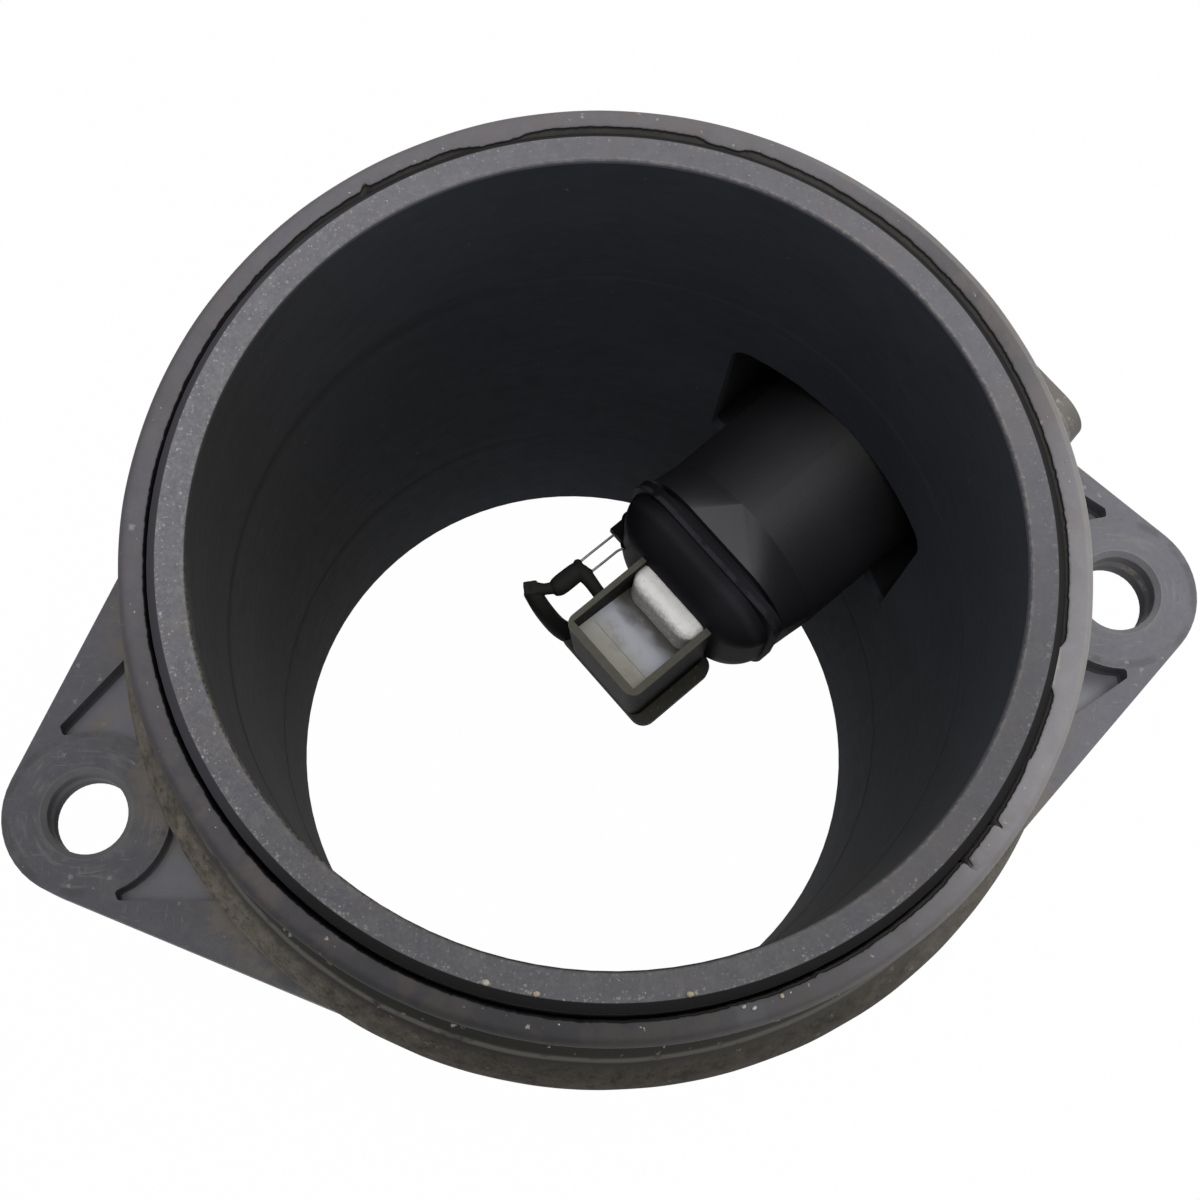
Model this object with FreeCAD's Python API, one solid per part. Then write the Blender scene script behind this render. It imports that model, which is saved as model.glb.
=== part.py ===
"""Mass airflow sensor: duct with a plug-in probe, built in millimetres."""
import FreeCAD, Part
import math
import os

os.makedirs("parts", exist_ok=True)

V = FreeCAD.Vector
ORIGIN = V(0, 0, 0)
UP = V(0, 0, 1)
OUT = V(1, 0, 0)

# Clearances between mating pieces
SNUG = 0.05
LOOSE = 0.1

# Duct, from the hose end at z = 0 to the air box end
DUCT_H = 78.2
BORE_NEAR_R = 31.0
BORE_MID_R = 30.62
BORE_FAR_R = 30.0
STEP_HIGH_Z = DUCT_H - 19.8
STEP_LOW_Z = 20.5
STEP_DROP = 0.06
STEP_RUN = 0.5
SPIGOT_R = 33.9
SPIGOT_FACE_R = 33.2
WALL_R = 33.4
HOSE_R = 33.0
HOSE_BEAD_R = 34.3
HOSE_BEAD_Z = 4.6
HOSE_STOP_R = 36.0
HOSE_STOP_Z = 21.5
HOSE_STOP_T = 2.0

# Flange with two ears
FLANGE_TOP = DUCT_H - 20.8
FLANGE_T = 4.5
FLANGE_R = 37.9
EAR_R = 6.77
HOLE_PLACE_R = 44.6
HOLE_AZ = (3.5, 202.4)
HOLE_R = 3.25
HOLE_CHAMFER = 0.45
EAR_BOSS_R = 6.75
POCKET_DEPTH = 2.6
POCKET_ROOT_R = 34.7
POCKET_ROUND = 0.3
POCKETS_RIGHT = (((43.9, 10.2), (32.0, 18.4)), ((44.7, -4.8), (31.0, -14.2)))
POCKETS_LEFT = (((-43.9, -9.85), (-34.9, 0.7)), ((-38.3, -23.95), (-25.0, -24.0)))
GUSSET_T = 2.0
GUSSET_R = 39.0
GUSSET_Z = FLANGE_TOP - 13.4

# Seal around the spigot
SEAL_LIP_R = 34.25
SEAL_LIP_TOP_R = 35.5
SEAL_LIP_OUT_R = 36.15
SEAL_LIP_Z = DUCT_H - 0.8
SEAL_WAIST_R = 35.2
SEAL_RIB_R = 36.6
SEAL_RIB_Z = FLANGE_TOP + 7.8
SEAL_BULGE_R = 38.6
SEAL_BULGE_Z = FLANGE_TOP + 5.0
SEAL_GROOVE_Z = FLANGE_TOP + 4.6
SEAL_GROOVE_H = 2.4
SEAL_GROOVE_DEPTH = 0.8

# Probe direction, height and sideways offset
PROBE_AZ = 40.9
PROBE_Z = DUCT_H - 38.0
PROBE_Y = -0.4

# Opening and seat on the duct for the plug-in sensor
OPENING_W = 25.1
OPENING_H = 19.6
OPENING_CORNER = 1.6
SEAT_X = 38.3
SEAT_W = 34.0
SEAT_LOW = PROBE_Z - 14.2
SEAT_CORNER = 3.0
SEAT_SKIN = 2.0
NOTCH_GAP = 0.4
SCREW_AT = ((19.5, PROBE_Z + 6.8), (-19.5, PROBE_Z - 7.7))
SCREW_BOSS_R = 4.0
SCREW_R = 1.9
SCREW_LEN = 9.5
SCREW_HEAD_R = 3.6
SCREW_HEAD_T = 2.4

# Sensor body: electronics tray, plug, stem
TRAY_W = 28.6
TRAY_LOW = PROBE_Z - 15.2
TRAY_TOP = PROBE_Z + 17.0
TRAY_H = TRAY_TOP - TRAY_LOW
TRAY_MID = (TRAY_TOP + TRAY_LOW) / 2
TRAY_CORNER = 3.0
TRAY_FLOOR = 1.8
TRAY_RIM_X = 43.3
TRAY_WALL = 1.7
EAR_T = 3.0
PLUG_DEPTH = 2.8
STEM_R_WALL = 9.75
STEM_R_TIP = 9.6
STEM_APEX_X = 18.4
STEM_TWIST = -7.8
STEM_END_X = 14.7
STEM_BORE_R = 7.2
NOSE_HALF = 9.2
NOSE_CORNER = 5.2
NOSE_CORNER_LOW = 8.6

# Ring between the body and the seat
RING_W = 26.8
RING_H = 22.0
RING_LIP = 1.6
RING_T = 0.8
RING_CORNER = 3.2
RING_CORNER_IN = 1.9

# Nose of the probe
GROOVE_HALF = 8.2
COLLAR_X = 14.0
COLLAR_T = 1.1
COLLAR_RISE = 0.25
COLLAR_CORNER = 4.4
COLLAR_CORNER_FAR = 2.4
NOSE_TIP_X = 9.4
NOSE_ROUND = 4.2
NOSE_PLUG_LEN = 5.0

# Channel frame at the tip, in the probe's own directions
FRAME_Y0 = -5.75
FRAME_Y1 = 3.75
FRAME_X0 = -0.2
FRAME_X0_FAR = 0.95
FRAME_TOP = PROBE_Z + 5.0
FRAME_LOW = PROBE_Z - 6.3
FRAME_WALL = 0.72
FRAME_WALL_THIN = 0.55
FRAME_ROUND = 1.1
FOOT_Y0 = -7.05
FOOT_Y1 = 5.5
FOOT_T = 1.3
FOOT_ROUND = 1.4
TANG_LEN = 1.8

# Film plate across the channel
PLATE_T = 0.7
PLATE_TILT = 12.0
PLATE_BITE = 0.25
FILM_T = 0.08
FILM_LEN = 3.0
PAD_LEN = 2.3
PLATE_END = 11.4
STRIP_T = 0.25

# Temperature bead with its leads
BEAD_R = 0.9
BEAD_X0 = 2.28
BEAD_X1 = 4.93
BEAD_Y0 = 8.11
BEAD_Y1 = 7.69
LEAD_R = 0.16
GUARD_R = 0.68

# Board and small components
BOARD_X = 40.4
BOARD_T = 1.0
BOARD_W = 24.0
BOARD_LOW = PROBE_Z - 11.8
BOARD_TOP = PROBE_Z + 12.8

# Connector
SHROUD_X0 = 38.6
SHROUD_X1 = 46.8
SHROUD_LOW = PROBE_Z - 14.8
SHROUD_TOP = PROBE_Z + 0.8
SHROUD_END_Y = 27.5
SHROUD_WALL = 1.3
SHROUD_BASE_Y = 17.6
PIN_COUNT = 5
PIN_STEP = 2.6
PIN_W = 0.8
PIN_T = 0.6
PIN_X = 42.5
PIN_END_Y = 24.8
PIN_ROOT_Y = 9.4

# Cover over the tray
COVER_T = 1.4
COVER_LIP = 0.8
LEDGE = 0.8
LUG_Y0 = 3.6
LUG_Y1 = 5.8
LUG_X = 48.1
LUG_ROUND = 0.6
LUG_TOP = PROBE_Z + 13.0


def save(shape, name):
    """Write one named piece."""
    shape.exportStep("parts/" + name + ".step")


def turned(shape):
    """Turn a piece built along +X to the probe's direction."""
    out = shape.copy()
    out.rotate(ORIGIN, UP, PROBE_AZ)
    return out


def fuse(shapes):
    """Join solids and drop the seams between their faces."""
    body = shapes[0]
    for shape in shapes[1:]:
        body = body.fuse(shape)
    return body.removeSplitter()


def revolved(points):
    """Solid of revolution about Z from (radius, height) corners."""
    wire = Part.makePolygon([V(r, 0, z) for r, z in points + [points[0]]])
    return Part.Face(wire).revolve(ORIGIN, UP, 360)


def box(x0, x1, y0, y1, z0, z1):
    """Plain box between two corners."""
    return Part.makeBox(x1 - x0, y1 - y0, z1 - z0, V(x0, y0, z0))


def rod(x0, x1, y, z, r):
    """Cylinder along X."""
    return Part.makeCylinder(r, x1 - x0, V(x0, y, z), OUT)


def corner_arc(x, yc, zc, w, h, r, k):
    """Three points of the rounded corner k of a rectangle in the plane at x."""
    cy = yc + (w / 2 - r) * (1 if k in (0, 3) else -1)
    cz = zc + (h / 2 - r) * (1 if k in (0, 1) else -1)
    spots = []
    for step in (0, 45, 90):
        a = math.radians(90 * k + step)
        spots.append(V(x, cy + r * math.cos(a), cz + r * math.sin(a)))
    return spots


def round_rect(x, yc, zc, w, h, r, r_low=None, r_far=None):
    """Rounded rectangle wire in the plane at x, with its own radius below or at -Y if given."""
    radii = (r, r_far or r, r_low or r, r_low or r)
    corners = [corner_arc(x, yc, zc, w, h, radii[k], k) for k in range(4)]
    edges = []
    for k, spots in enumerate(corners):
        edges.append(Part.Arc(*spots).toShape())
        edges.append(Part.makeLine(spots[2], corners[(k + 1) % 4][0]))
    return Part.Wire(edges)


def slab(x0, x1, yc, zc, w, h, r):
    """Prism along X with a rounded rectangular section."""
    return Part.Face(round_rect(x0, yc, zc, w, h, r)).extrude(V(x1 - x0, 0, 0))


def polar(r, degrees, z=0.0):
    """Point from a radius and an azimuth."""
    a = math.radians(degrees)
    return V(r * math.cos(a), r * math.sin(a), z)


def ear_plate(centre, z0, thick):
    """Plate between the flange circle and an ear circle, with tangent sides."""
    dist = math.hypot(centre.x, centre.y)
    toward = math.atan2(centre.y, centre.x)
    swing = math.acos((FLANGE_R - EAR_R) / dist)
    corners = []
    for sign in (1, -1):
        a = toward + sign * swing
        near = V(FLANGE_R * math.cos(a), FLANGE_R * math.sin(a), z0)
        far = V(centre.x + EAR_R * math.cos(a), centre.y + EAR_R * math.sin(a), z0)
        corners.append((near, far))
    (n1, f1), (n2, f2) = corners
    wire = Part.makePolygon([n1, f1, f2, n2, n1])
    plate = Part.Face(wire).extrude(V(0, 0, thick))
    tip = Part.makeCylinder(EAR_R, thick, V(centre.x, centre.y, z0))
    return plate.fuse(tip)


def pocket(hole, outer, inner):
    """Recess between an ear's boss, the duct and one straight edge."""
    z0 = FLANGE_TOP - POCKET_DEPTH
    centre = V(hole.x, hole.y, z0)
    core = V(inner[0] * 0.8, inner[1] * 0.8, z0)
    heel = V(hole.x * 0.7, hole.y * 0.7, z0)
    spots = [V(outer[0], outer[1], z0), V(inner[0], inner[1], z0), core, heel, centre]
    face = Part.Face(Part.makePolygon(spots + [spots[0]]))
    body = face.extrude(V(0, 0, POCKET_DEPTH + 1))
    body = body.cut(Part.makeCylinder(EAR_BOSS_R, DUCT_H, V(hole.x, hole.y, 0)))
    body = body.cut(Part.makeCylinder(POCKET_ROOT_R, DUCT_H))
    upright = []
    for edge in body.Edges:
        a, b = edge.Vertexes[0].Point, edge.Vertexes[-1].Point
        if abs(a.x - b.x) < 1e-6 and abs(a.y - b.y) < 1e-6:
            if math.hypot(a.x, a.y) > POCKET_ROOT_R + 0.5:
                upright.append(edge)
    return body.makeFillet(POCKET_ROUND, upright)


def duct_profile():
    """Outer and inner outline of the duct as (radius, height) corners."""
    flange_low = FLANGE_TOP - FLANGE_T
    groove_low = SEAL_GROOVE_Z - SEAL_GROOVE_H / 2
    groove_top = SEAL_GROOVE_Z + SEAL_GROOVE_H / 2
    groove_r = SPIGOT_R - SEAL_GROOVE_DEPTH
    outer = [(HOSE_R - 0.6, 0), (HOSE_R, 0.6), (HOSE_R, HOSE_BEAD_Z - 2.2)]
    outer += [(HOSE_BEAD_R, HOSE_BEAD_Z - 0.6), (HOSE_BEAD_R, HOSE_BEAD_Z + 0.6)]
    outer += [(HOSE_R, HOSE_BEAD_Z + 1.8), (HOSE_R, HOSE_STOP_Z)]
    outer += [(HOSE_STOP_R, HOSE_STOP_Z), (HOSE_STOP_R, HOSE_STOP_Z + HOSE_STOP_T)]
    outer += [(WALL_R, HOSE_STOP_Z + HOSE_STOP_T), (WALL_R, flange_low)]
    outer += [(FLANGE_R, flange_low), (FLANGE_R, FLANGE_TOP), (SPIGOT_R, FLANGE_TOP)]
    outer += [(SPIGOT_R, groove_low), (groove_r, groove_low)]
    outer += [(groove_r, groove_top), (SPIGOT_R, groove_top)]
    outer += [(SPIGOT_R, DUCT_H - 0.8), (SPIGOT_FACE_R, DUCT_H)]
    drop = STEP_DROP
    inner = [(BORE_NEAR_R + 0.25, DUCT_H), (BORE_NEAR_R, DUCT_H - 0.25)]
    inner += [(BORE_MID_R + drop, STEP_HIGH_Z), (BORE_MID_R, STEP_HIGH_Z - STEP_RUN)]
    low_r = BORE_FAR_R + (BORE_MID_R - BORE_FAR_R) * 0.35
    inner += [(low_r + drop, STEP_LOW_Z), (low_r, STEP_LOW_Z - STEP_RUN)]
    inner += [(BORE_FAR_R, 0.3), (BORE_FAR_R + 0.3, 0)]
    return outer + inner


def bore_core():
    """Slim core that keeps added blocks out of the bore."""
    return Part.makeCone(BORE_FAR_R + 1.2, BORE_NEAR_R + 1.2, DUCT_H)


def seat_block():
    """Block on the duct's side with a flat seat, cored from below, and two bosses."""
    top = FLANGE_TOP - FLANGE_T
    mid = (SEAT_LOW + top) / 2
    block = slab(26, SEAT_X, 0, mid, SEAT_W, top - SEAT_LOW, SEAT_CORNER)
    parts = [block, box(26, SEAT_X, -SEAT_W / 2, SEAT_W / 2, top - 6, top + 1)]
    for y, z in SCREW_AT:
        parts.append(rod(24, SEAT_X, y, z, SCREW_BOSS_R))
        low = min(y, 0)
        parts.append(box(24, SEAT_X - 1.5, low, low + abs(y), z - 1.25, z + 1.25))
    seat = fuse(parts).cut(bore_core())
    room = PROBE_Z - OPENING_H / 2 - SEAT_SKIN
    for y0, y1 in ((-SEAT_W / 2 + SEAT_SKIN, -1.0), (1.0, SEAT_W / 2 - SEAT_SKIN)):
        core = box(26, SEAT_X - SEAT_SKIN, y0, y1, SEAT_LOW - 1, room)
        seat = seat.cut(core.cut(Part.makeCylinder(WALL_R, DUCT_H)))
    return seat


def gussets(hole):
    """Two thin ribs that hold an ear against the duct."""
    low = FLANGE_TOP - FLANGE_T
    a = math.atan2(hole.y, hole.x)
    ribs = []
    for side in (-4.6, 4.6):
        spots = [V(WALL_R - 1.0, 0, GUSSET_Z), V(WALL_R - 1.0, 0, low + 0.5)]
        spots += [V(GUSSET_R, 0, low + 0.5), V(GUSSET_R, 0, low - 1.2)]
        face = Part.Face(Part.makePolygon(spots + [spots[0]]))
        face.translate(V(0, side - GUSSET_T / 2, 0))
        rib = face.extrude(V(0, GUSSET_T, 0))
        rib.rotate(ORIGIN, UP, math.degrees(a))
        ribs.append(rib)
    return ribs


def duct_housing():
    """Duct, spigot, flange, ears and sensor seat as one moulding."""
    low = FLANGE_TOP - FLANGE_T
    holes = [polar(HOLE_PLACE_R, az) for az in HOLE_AZ]
    parts = [revolved(duct_profile())]
    for hole in holes:
        ear = ear_plate(hole, low, FLANGE_T).cut(bore_core())
        parts.append(ear)
        parts += gussets(hole)
    parts.append(turned(seat_block()))
    body = fuse(parts)
    opening = slab(20, SEAT_X + 1, 0, PROBE_Z, OPENING_W, OPENING_H, OPENING_CORNER)
    body = body.cut(turned(opening))
    gap = 2 * NOTCH_GAP
    notch = slab(SEAT_X, SEAT_X + 20, 0, TRAY_MID, TRAY_W + gap, TRAY_H + gap, TRAY_CORNER)
    body = body.cut(turned(notch))
    for y, z in SCREW_AT:
        body = body.cut(turned(rod(SEAT_X - SCREW_LEN - 0.6, SEAT_X + 1, y, z, SCREW_R + SNUG)))
    for hole in holes:
        body = body.cut(Part.makeCylinder(HOLE_R, DUCT_H, V(hole.x, hole.y, 0)))
        cone = Part.makeCone(HOLE_R, HOLE_R + HOLE_CHAMFER + 0.1, HOLE_CHAMFER + 0.1)
        cone.translate(V(hole.x, hole.y, FLANGE_TOP - HOLE_CHAMFER))
        body = body.cut(cone)
    for hole, edges in zip(holes, (POCKETS_RIGHT, POCKETS_LEFT)):
        for outer, inner in edges:
            body = body.cut(pocket(hole, outer, inner))
    return body


def port_seal():
    """Rubber sleeve with a thin lip, a rib and a broad lower bulge."""
    low = FLANGE_TOP
    rib_r = SPIGOT_R - SEAL_GROOVE_DEPTH + SNUG
    rib_low = SEAL_GROOVE_Z - SEAL_GROOVE_H / 2 + LOOSE
    rib_top = SEAL_GROOVE_Z + SEAL_GROOVE_H / 2 - LOOSE
    points = [(SPIGOT_R, low), (37.3, low), (SEAL_BULGE_R - 0.3, low + 1.6)]
    points += [(SEAL_BULGE_R, low + 2.6), (SEAL_BULGE_R, SEAL_BULGE_Z - 0.6)]
    points += [(SEAL_BULGE_R - 0.4, SEAL_BULGE_Z + 0.4), (SEAL_RIB_R + 0.5, SEAL_RIB_Z - 0.9)]
    points += [(SEAL_RIB_R, SEAL_RIB_Z), (SEAL_RIB_R - 0.3, SEAL_RIB_Z + 0.5)]
    points += [(SEAL_WAIST_R, SEAL_RIB_Z + 1.6), (SEAL_WAIST_R, SEAL_LIP_Z - 3.6)]
    points += [(SEAL_LIP_OUT_R, SEAL_LIP_Z - 2.2), (SEAL_LIP_OUT_R, SEAL_LIP_Z - 0.5)]
    points += [(SEAL_LIP_TOP_R, SEAL_LIP_Z), (SEAL_LIP_R + 0.15, SEAL_LIP_Z)]
    points += [(SEAL_LIP_R, SEAL_LIP_Z - 0.3), (SPIGOT_R, SEAL_LIP_Z - 3.4)]
    points += [(SPIGOT_R, rib_top), (rib_r, rib_top), (rib_r, rib_low), (SPIGOT_R, rib_low)]
    return revolved(points)


def stem_transition():
    """Round to square end of the stem: four flat triangles and four ruled corners."""
    side = 2 * NOSE_HALF
    wide = 2 * STEM_R_TIP
    radii = (NOSE_CORNER, NOSE_CORNER, NOSE_CORNER_LOW, NOSE_CORNER_LOW)
    twist = FreeCAD.Rotation(OUT, STEM_TWIST)
    rounds = [corner_arc(STEM_APEX_X, 0, 0, wide, wide, STEM_R_TIP, k) for k in range(4)]
    rounds = [[twist.multVec(spot) for spot in arc] for arc in rounds]
    squares = [corner_arc(STEM_END_X, 0, 0, side, side, radii[k], k) for k in range(4)]
    faces = []
    for k in range(4):
        big = Part.Arc(*rounds[k]).toShape()
        small = Part.Arc(*squares[k]).toShape()
        faces.append(Part.makeRuledSurface(big, small))
        nxt = squares[(k + 1) % 4][0]
        tri = Part.makePolygon([rounds[k][2], squares[k][2], nxt, rounds[k][2]])
        faces.append(Part.Face(tri))
    end = round_rect(STEM_END_X, 0, 0, side, side, NOSE_CORNER, NOSE_CORNER_LOW)
    faces.append(Part.Face(end))
    rim = Part.makeCircle(STEM_R_TIP, V(STEM_APEX_X, 0, 0), OUT)
    faces.append(Part.Face(Part.Wire(rim)))
    shell = Part.makeShell(faces)
    shell.sewShape()
    solid = Part.makeSolid(shell)
    if solid.Volume < 0:
        solid.reverse()
    solid.translate(V(0, PROBE_Y, PROBE_Z))
    return solid


def pin_boxes(y0, y1, grow=0.0):
    """Row of flat terminals along the connector."""
    mid = (SHROUD_LOW + SHROUD_TOP) / 2
    pins = []
    for k in range(PIN_COUNT):
        z = mid + (k - (PIN_COUNT - 1) / 2) * PIN_STEP
        a = PIN_T / 2 + grow
        b = PIN_W / 2 + grow
        pins.append(box(PIN_X - a, PIN_X + a, y0, y1, z - b, z + b))
    return pins


def seal_ring(deep=RING_T):
    """Flat rubber ring around the opening, pressed on the seat."""
    x1 = SEAT_X + deep
    wide = slab(SEAT_X, x1, 0, PROBE_Z, RING_W + RING_LIP, RING_H + RING_LIP, RING_CORNER)
    inner = (RING_W - RING_LIP, RING_H - RING_LIP, RING_CORNER_IN)
    return wide.cut(slab(SEAT_X - 1, x1 + 1, 0, PROBE_Z, *inner))


def sensor_body():
    """Tray, fixing ears, plug, hollow stem and connector shroud as one moulding."""
    parts = [slab(SEAT_X, TRAY_RIM_X, 0, TRAY_MID, TRAY_W, TRAY_H, TRAY_CORNER)]
    for y, z in SCREW_AT:
        parts.append(rod(SEAT_X, SEAT_X + EAR_T, y, z, SCREW_BOSS_R + 0.3))
        edge = 13.0 * (1 if y > 0 else -1)
        lo, hi = min(y, edge), max(y, edge)
        parts.append(box(SEAT_X, SEAT_X + EAR_T, lo, hi, z - 4.3, z + 4.3))
    plug_w = OPENING_W - 2 * LOOSE
    plug_h = OPENING_H - 2 * LOOSE
    parts.append(slab(SEAT_X - PLUG_DEPTH, SEAT_X + 1, 0, PROBE_Z, plug_w, plug_h, OPENING_CORNER))
    stem_len = SEAT_X - STEM_APEX_X
    cone = Part.makeCone(STEM_R_TIP, STEM_R_WALL, stem_len, V(STEM_APEX_X, PROBE_Y, PROBE_Z), OUT)
    parts += [cone, stem_transition()]
    sh_x = (SHROUD_X0 + SHROUD_X1) / 2
    side = TRAY_W / 2 + LOOSE
    shell = box(SHROUD_X0, SHROUD_X1, side, SHROUD_END_Y, SHROUD_LOW, SHROUD_TOP)
    long_edges = [e for e in shell.Edges if abs(e.tangentAt(0).y) > 0.9]
    parts.append(shell.makeFillet(1.8, long_edges))
    parts.append(box(SHROUD_X0, TRAY_RIM_X, side - 1, side + 1, SHROUD_LOW + 1.8, SHROUD_TOP - 1.8))
    body = fuse(parts)
    floor_x = SEAT_X + TRAY_FLOOR
    inner_w = TRAY_W - 2 * TRAY_WALL
    inner_h = TRAY_H - 2 * TRAY_WALL
    body = body.cut(slab(floor_x, TRAY_RIM_X, 0, TRAY_MID, inner_w, inner_h, 1.2))
    ledge_w = inner_w + 2 * LEDGE
    ledge_h = inner_h + 2 * LEDGE
    body = body.cut(slab(TRAY_RIM_X - LEDGE, TRAY_RIM_X, 0, TRAY_MID, ledge_w, ledge_h, 1.8))
    body = body.cut(rod(STEM_END_X - 1, floor_x + 1, PROBE_Y, PROBE_Z, STEM_BORE_R))
    cx0, cx1 = SHROUD_X0 + SHROUD_WALL, SHROUD_X1 - SHROUD_WALL
    cz0, cz1 = SHROUD_LOW + SHROUD_WALL, SHROUD_TOP - SHROUD_WALL
    body = body.cut(box(cx0, cx1, SHROUD_BASE_Y, SHROUD_END_Y + 1, cz0, cz1))
    posts = []
    for y in (-10.6, 10.6):
        for z in (BOARD_LOW + 1.6, BOARD_TOP - 1.6):
            posts.append(rod(floor_x - 0.2, BOARD_X, y, z, 1.1))
    rail_z = SHROUD_TOP + 1.1
    rail = box(sh_x - 1.6, sh_x + 1.6, SHROUD_BASE_Y + 2, SHROUD_END_Y - 2, SHROUD_TOP - 0.3, rail_z)
    body = fuse([body, rail] + posts)
    for y, z in SCREW_AT:
        body = body.cut(rod(SEAT_X - 1, SEAT_X + EAR_T + 1, y, z, SCREW_R + 0.3))
    for pin in pin_boxes(12.0, SHROUD_BASE_Y + 1):
        body = body.cut(pin)
    return body.cut(seal_ring(RING_T + LOOSE))


def nose_wire(x, half):
    """Rounded square section of the nose at x."""
    share = half / NOSE_HALF
    low = NOSE_CORNER_LOW * share
    return round_rect(x, PROBE_Y, PROBE_Z, 2 * half, 2 * half, NOSE_CORNER * share, low)


def probe_nose():
    """Nose cap: collar, groove and a rounded block, plugged into the stem."""
    tip = Part.Face(nose_wire(NOSE_TIP_X, NOSE_HALF)).extrude(V(COLLAR_X - NOSE_TIP_X, 0, 0))
    front = []
    for edge in tip.Edges:
        if abs(edge.BoundBox.XMax - NOSE_TIP_X) < 1e-3:
            front.append(edge)
    tip = tip.makeFillet(NOSE_ROUND, front)
    wide = 2 * (NOSE_HALF + COLLAR_RISE)
    rim = round_rect(COLLAR_X - COLLAR_T, PROBE_Y, PROBE_Z, wide, wide, COLLAR_CORNER,
                     NOSE_CORNER_LOW, COLLAR_CORNER_FAR)
    collar = Part.Face(rim).extrude(V(COLLAR_T, 0, 0))
    neck = Part.Face(nose_wire(COLLAR_X - 0.2, GROOVE_HALF)).extrude(V(STEM_END_X - COLLAR_X + 0.2, 0, 0))
    plug = rod(STEM_END_X - 0.2, STEM_END_X + NOSE_PLUG_LEN, PROBE_Y, PROBE_Z, STEM_BORE_R - SNUG)
    lump = box(10.0, 12.4, 6.2, 8.6, PROBE_Z - 0.3, PROBE_Z + 0.7)
    body = fuse([tip, collar, neck, plug, lump])
    room = rod(COLLAR_X - 1.6, STEM_END_X + NOSE_PLUG_LEN + 1, PROBE_Y, PROBE_Z, STEM_BORE_R - 1.6)
    return body.cut(room)


def frame_block(x0, x0_far, y0, y1, z0, z1, x1):
    """Block whose tip face leans inward towards its far end."""
    spots = [V(x0, y0, z1), V(x1, y0, z1), V(x1, y0, z0), V(x0_far, y0, z0)]
    face = Part.Face(Part.makePolygon(spots + [spots[0]]))
    return face.extrude(V(0, y1 - y0, 0))


def plate_solid(thick, x0, x1, y0, y1, lift):
    """Thin plate across the channel, tilted about the sideways direction."""
    plate = box(x0, x1, y0, y1, PROBE_Z + lift, PROBE_Z + lift + thick)
    plate.rotate(V(4.5, 0, PROBE_Z), V(0, 1, 0), PLATE_TILT)
    return plate


def film_plate():
    """Glassy plate that carries the film."""
    y0 = FRAME_Y0 + FRAME_WALL - PLATE_BITE
    y1 = FRAME_Y1 - FRAME_WALL_THIN + PLATE_BITE
    return plate_solid(PLATE_T, FRAME_X0 + FRAME_WALL + 0.15, PLATE_END, y0, y1, -0.2)


def heater_film():
    """Heated film on the plate's face."""
    y0 = FRAME_Y0 + FRAME_WALL + 0.5
    y1 = FRAME_Y1 - FRAME_WALL_THIN - 0.5
    return plate_solid(FILM_T, 2.8, 2.8 + FILM_LEN, y0, y1, -0.2 + PLATE_T)


def channel_frame():
    """Open frame around the measuring channel, with a foot and a tang."""
    x1 = NOSE_TIP_X
    outer = frame_block(FRAME_X0, FRAME_X0_FAR, FRAME_Y0, FRAME_Y1, FRAME_LOW, FRAME_TOP, x1)
    tips = []
    for edge in outer.Edges:
        box_ = edge.BoundBox
        if box_.ZLength > 8 and box_.XMax < 2:
            tips.append(edge)
    outer = outer.makeFillet(FRAME_ROUND, tips)
    foot_x = (FRAME_X0_FAR + x1) / 2
    foot = box(FRAME_X0_FAR, x1 + 0.9, FOOT_Y0, FOOT_Y1, FRAME_LOW - FOOT_T, FRAME_LOW)
    tips = []
    for edge in foot.Edges:
        box_ = edge.BoundBox
        if box_.ZLength > 1 and (box_.XMax < foot_x or box_.YMax < 0):
            tips.append(edge)
    foot = foot.makeFillet(FOOT_ROUND, tips)
    tang = box(x1 - 0.3, x1 + TANG_LEN, FRAME_Y0, FRAME_Y1, PROBE_Z - 4.2, PROBE_Z + 4.0)
    body = fuse([outer, foot, tang])
    w = FRAME_WALL
    duct = frame_block(FRAME_X0 + w, FRAME_X0_FAR + w, FRAME_Y0 + w, FRAME_Y1 - FRAME_WALL_THIN,
                       FRAME_LOW - FOOT_T - 1, FRAME_TOP + 1, x1)
    body = body.cut(duct)
    return body.cut(film_plate())


def sealing_pad():
    """Compound that seals the plate's root at the nose."""
    y0 = FRAME_Y0 + FRAME_WALL
    y1 = FRAME_Y1 - FRAME_WALL_THIN
    pad = box(NOSE_TIP_X - PAD_LEN, NOSE_TIP_X, y0, y1, PROBE_Z - 3.5, FRAME_TOP - 0.5)
    front = []
    for edge in pad.Edges:
        box_ = edge.BoundBox
        if box_.ZLength > 5 and box_.XMax < NOSE_TIP_X - 1:
            front.append(edge)
    pad = pad.makeFillet(1.5, front)
    crest = []
    for edge in pad.Edges:
        box_ = edge.BoundBox
        if box_.ZMin > PROBE_Z and box_.XMin < NOSE_TIP_X - 0.1:
            crest.append(edge)
    pad = pad.makeFillet(0.9, crest)
    return pad.cut(film_plate())


def bead_axis():
    """Ends of the bead's straight part."""
    return V(BEAD_X0, BEAD_Y0, PROBE_Z), V(BEAD_X1, BEAD_Y1, PROBE_Z)


def bar(a, b, r):
    """Round bar between two points."""
    line = b.sub(a)
    return Part.makeCylinder(r, line.Length, a, line)


def temperature_bead():
    """Air temperature bead with round ends."""
    ends = bead_axis()
    parts = [bar(*ends, BEAD_R)]
    for end in ends:
        parts.append(Part.makeSphere(BEAD_R, end))
    return fuse(parts)


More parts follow.
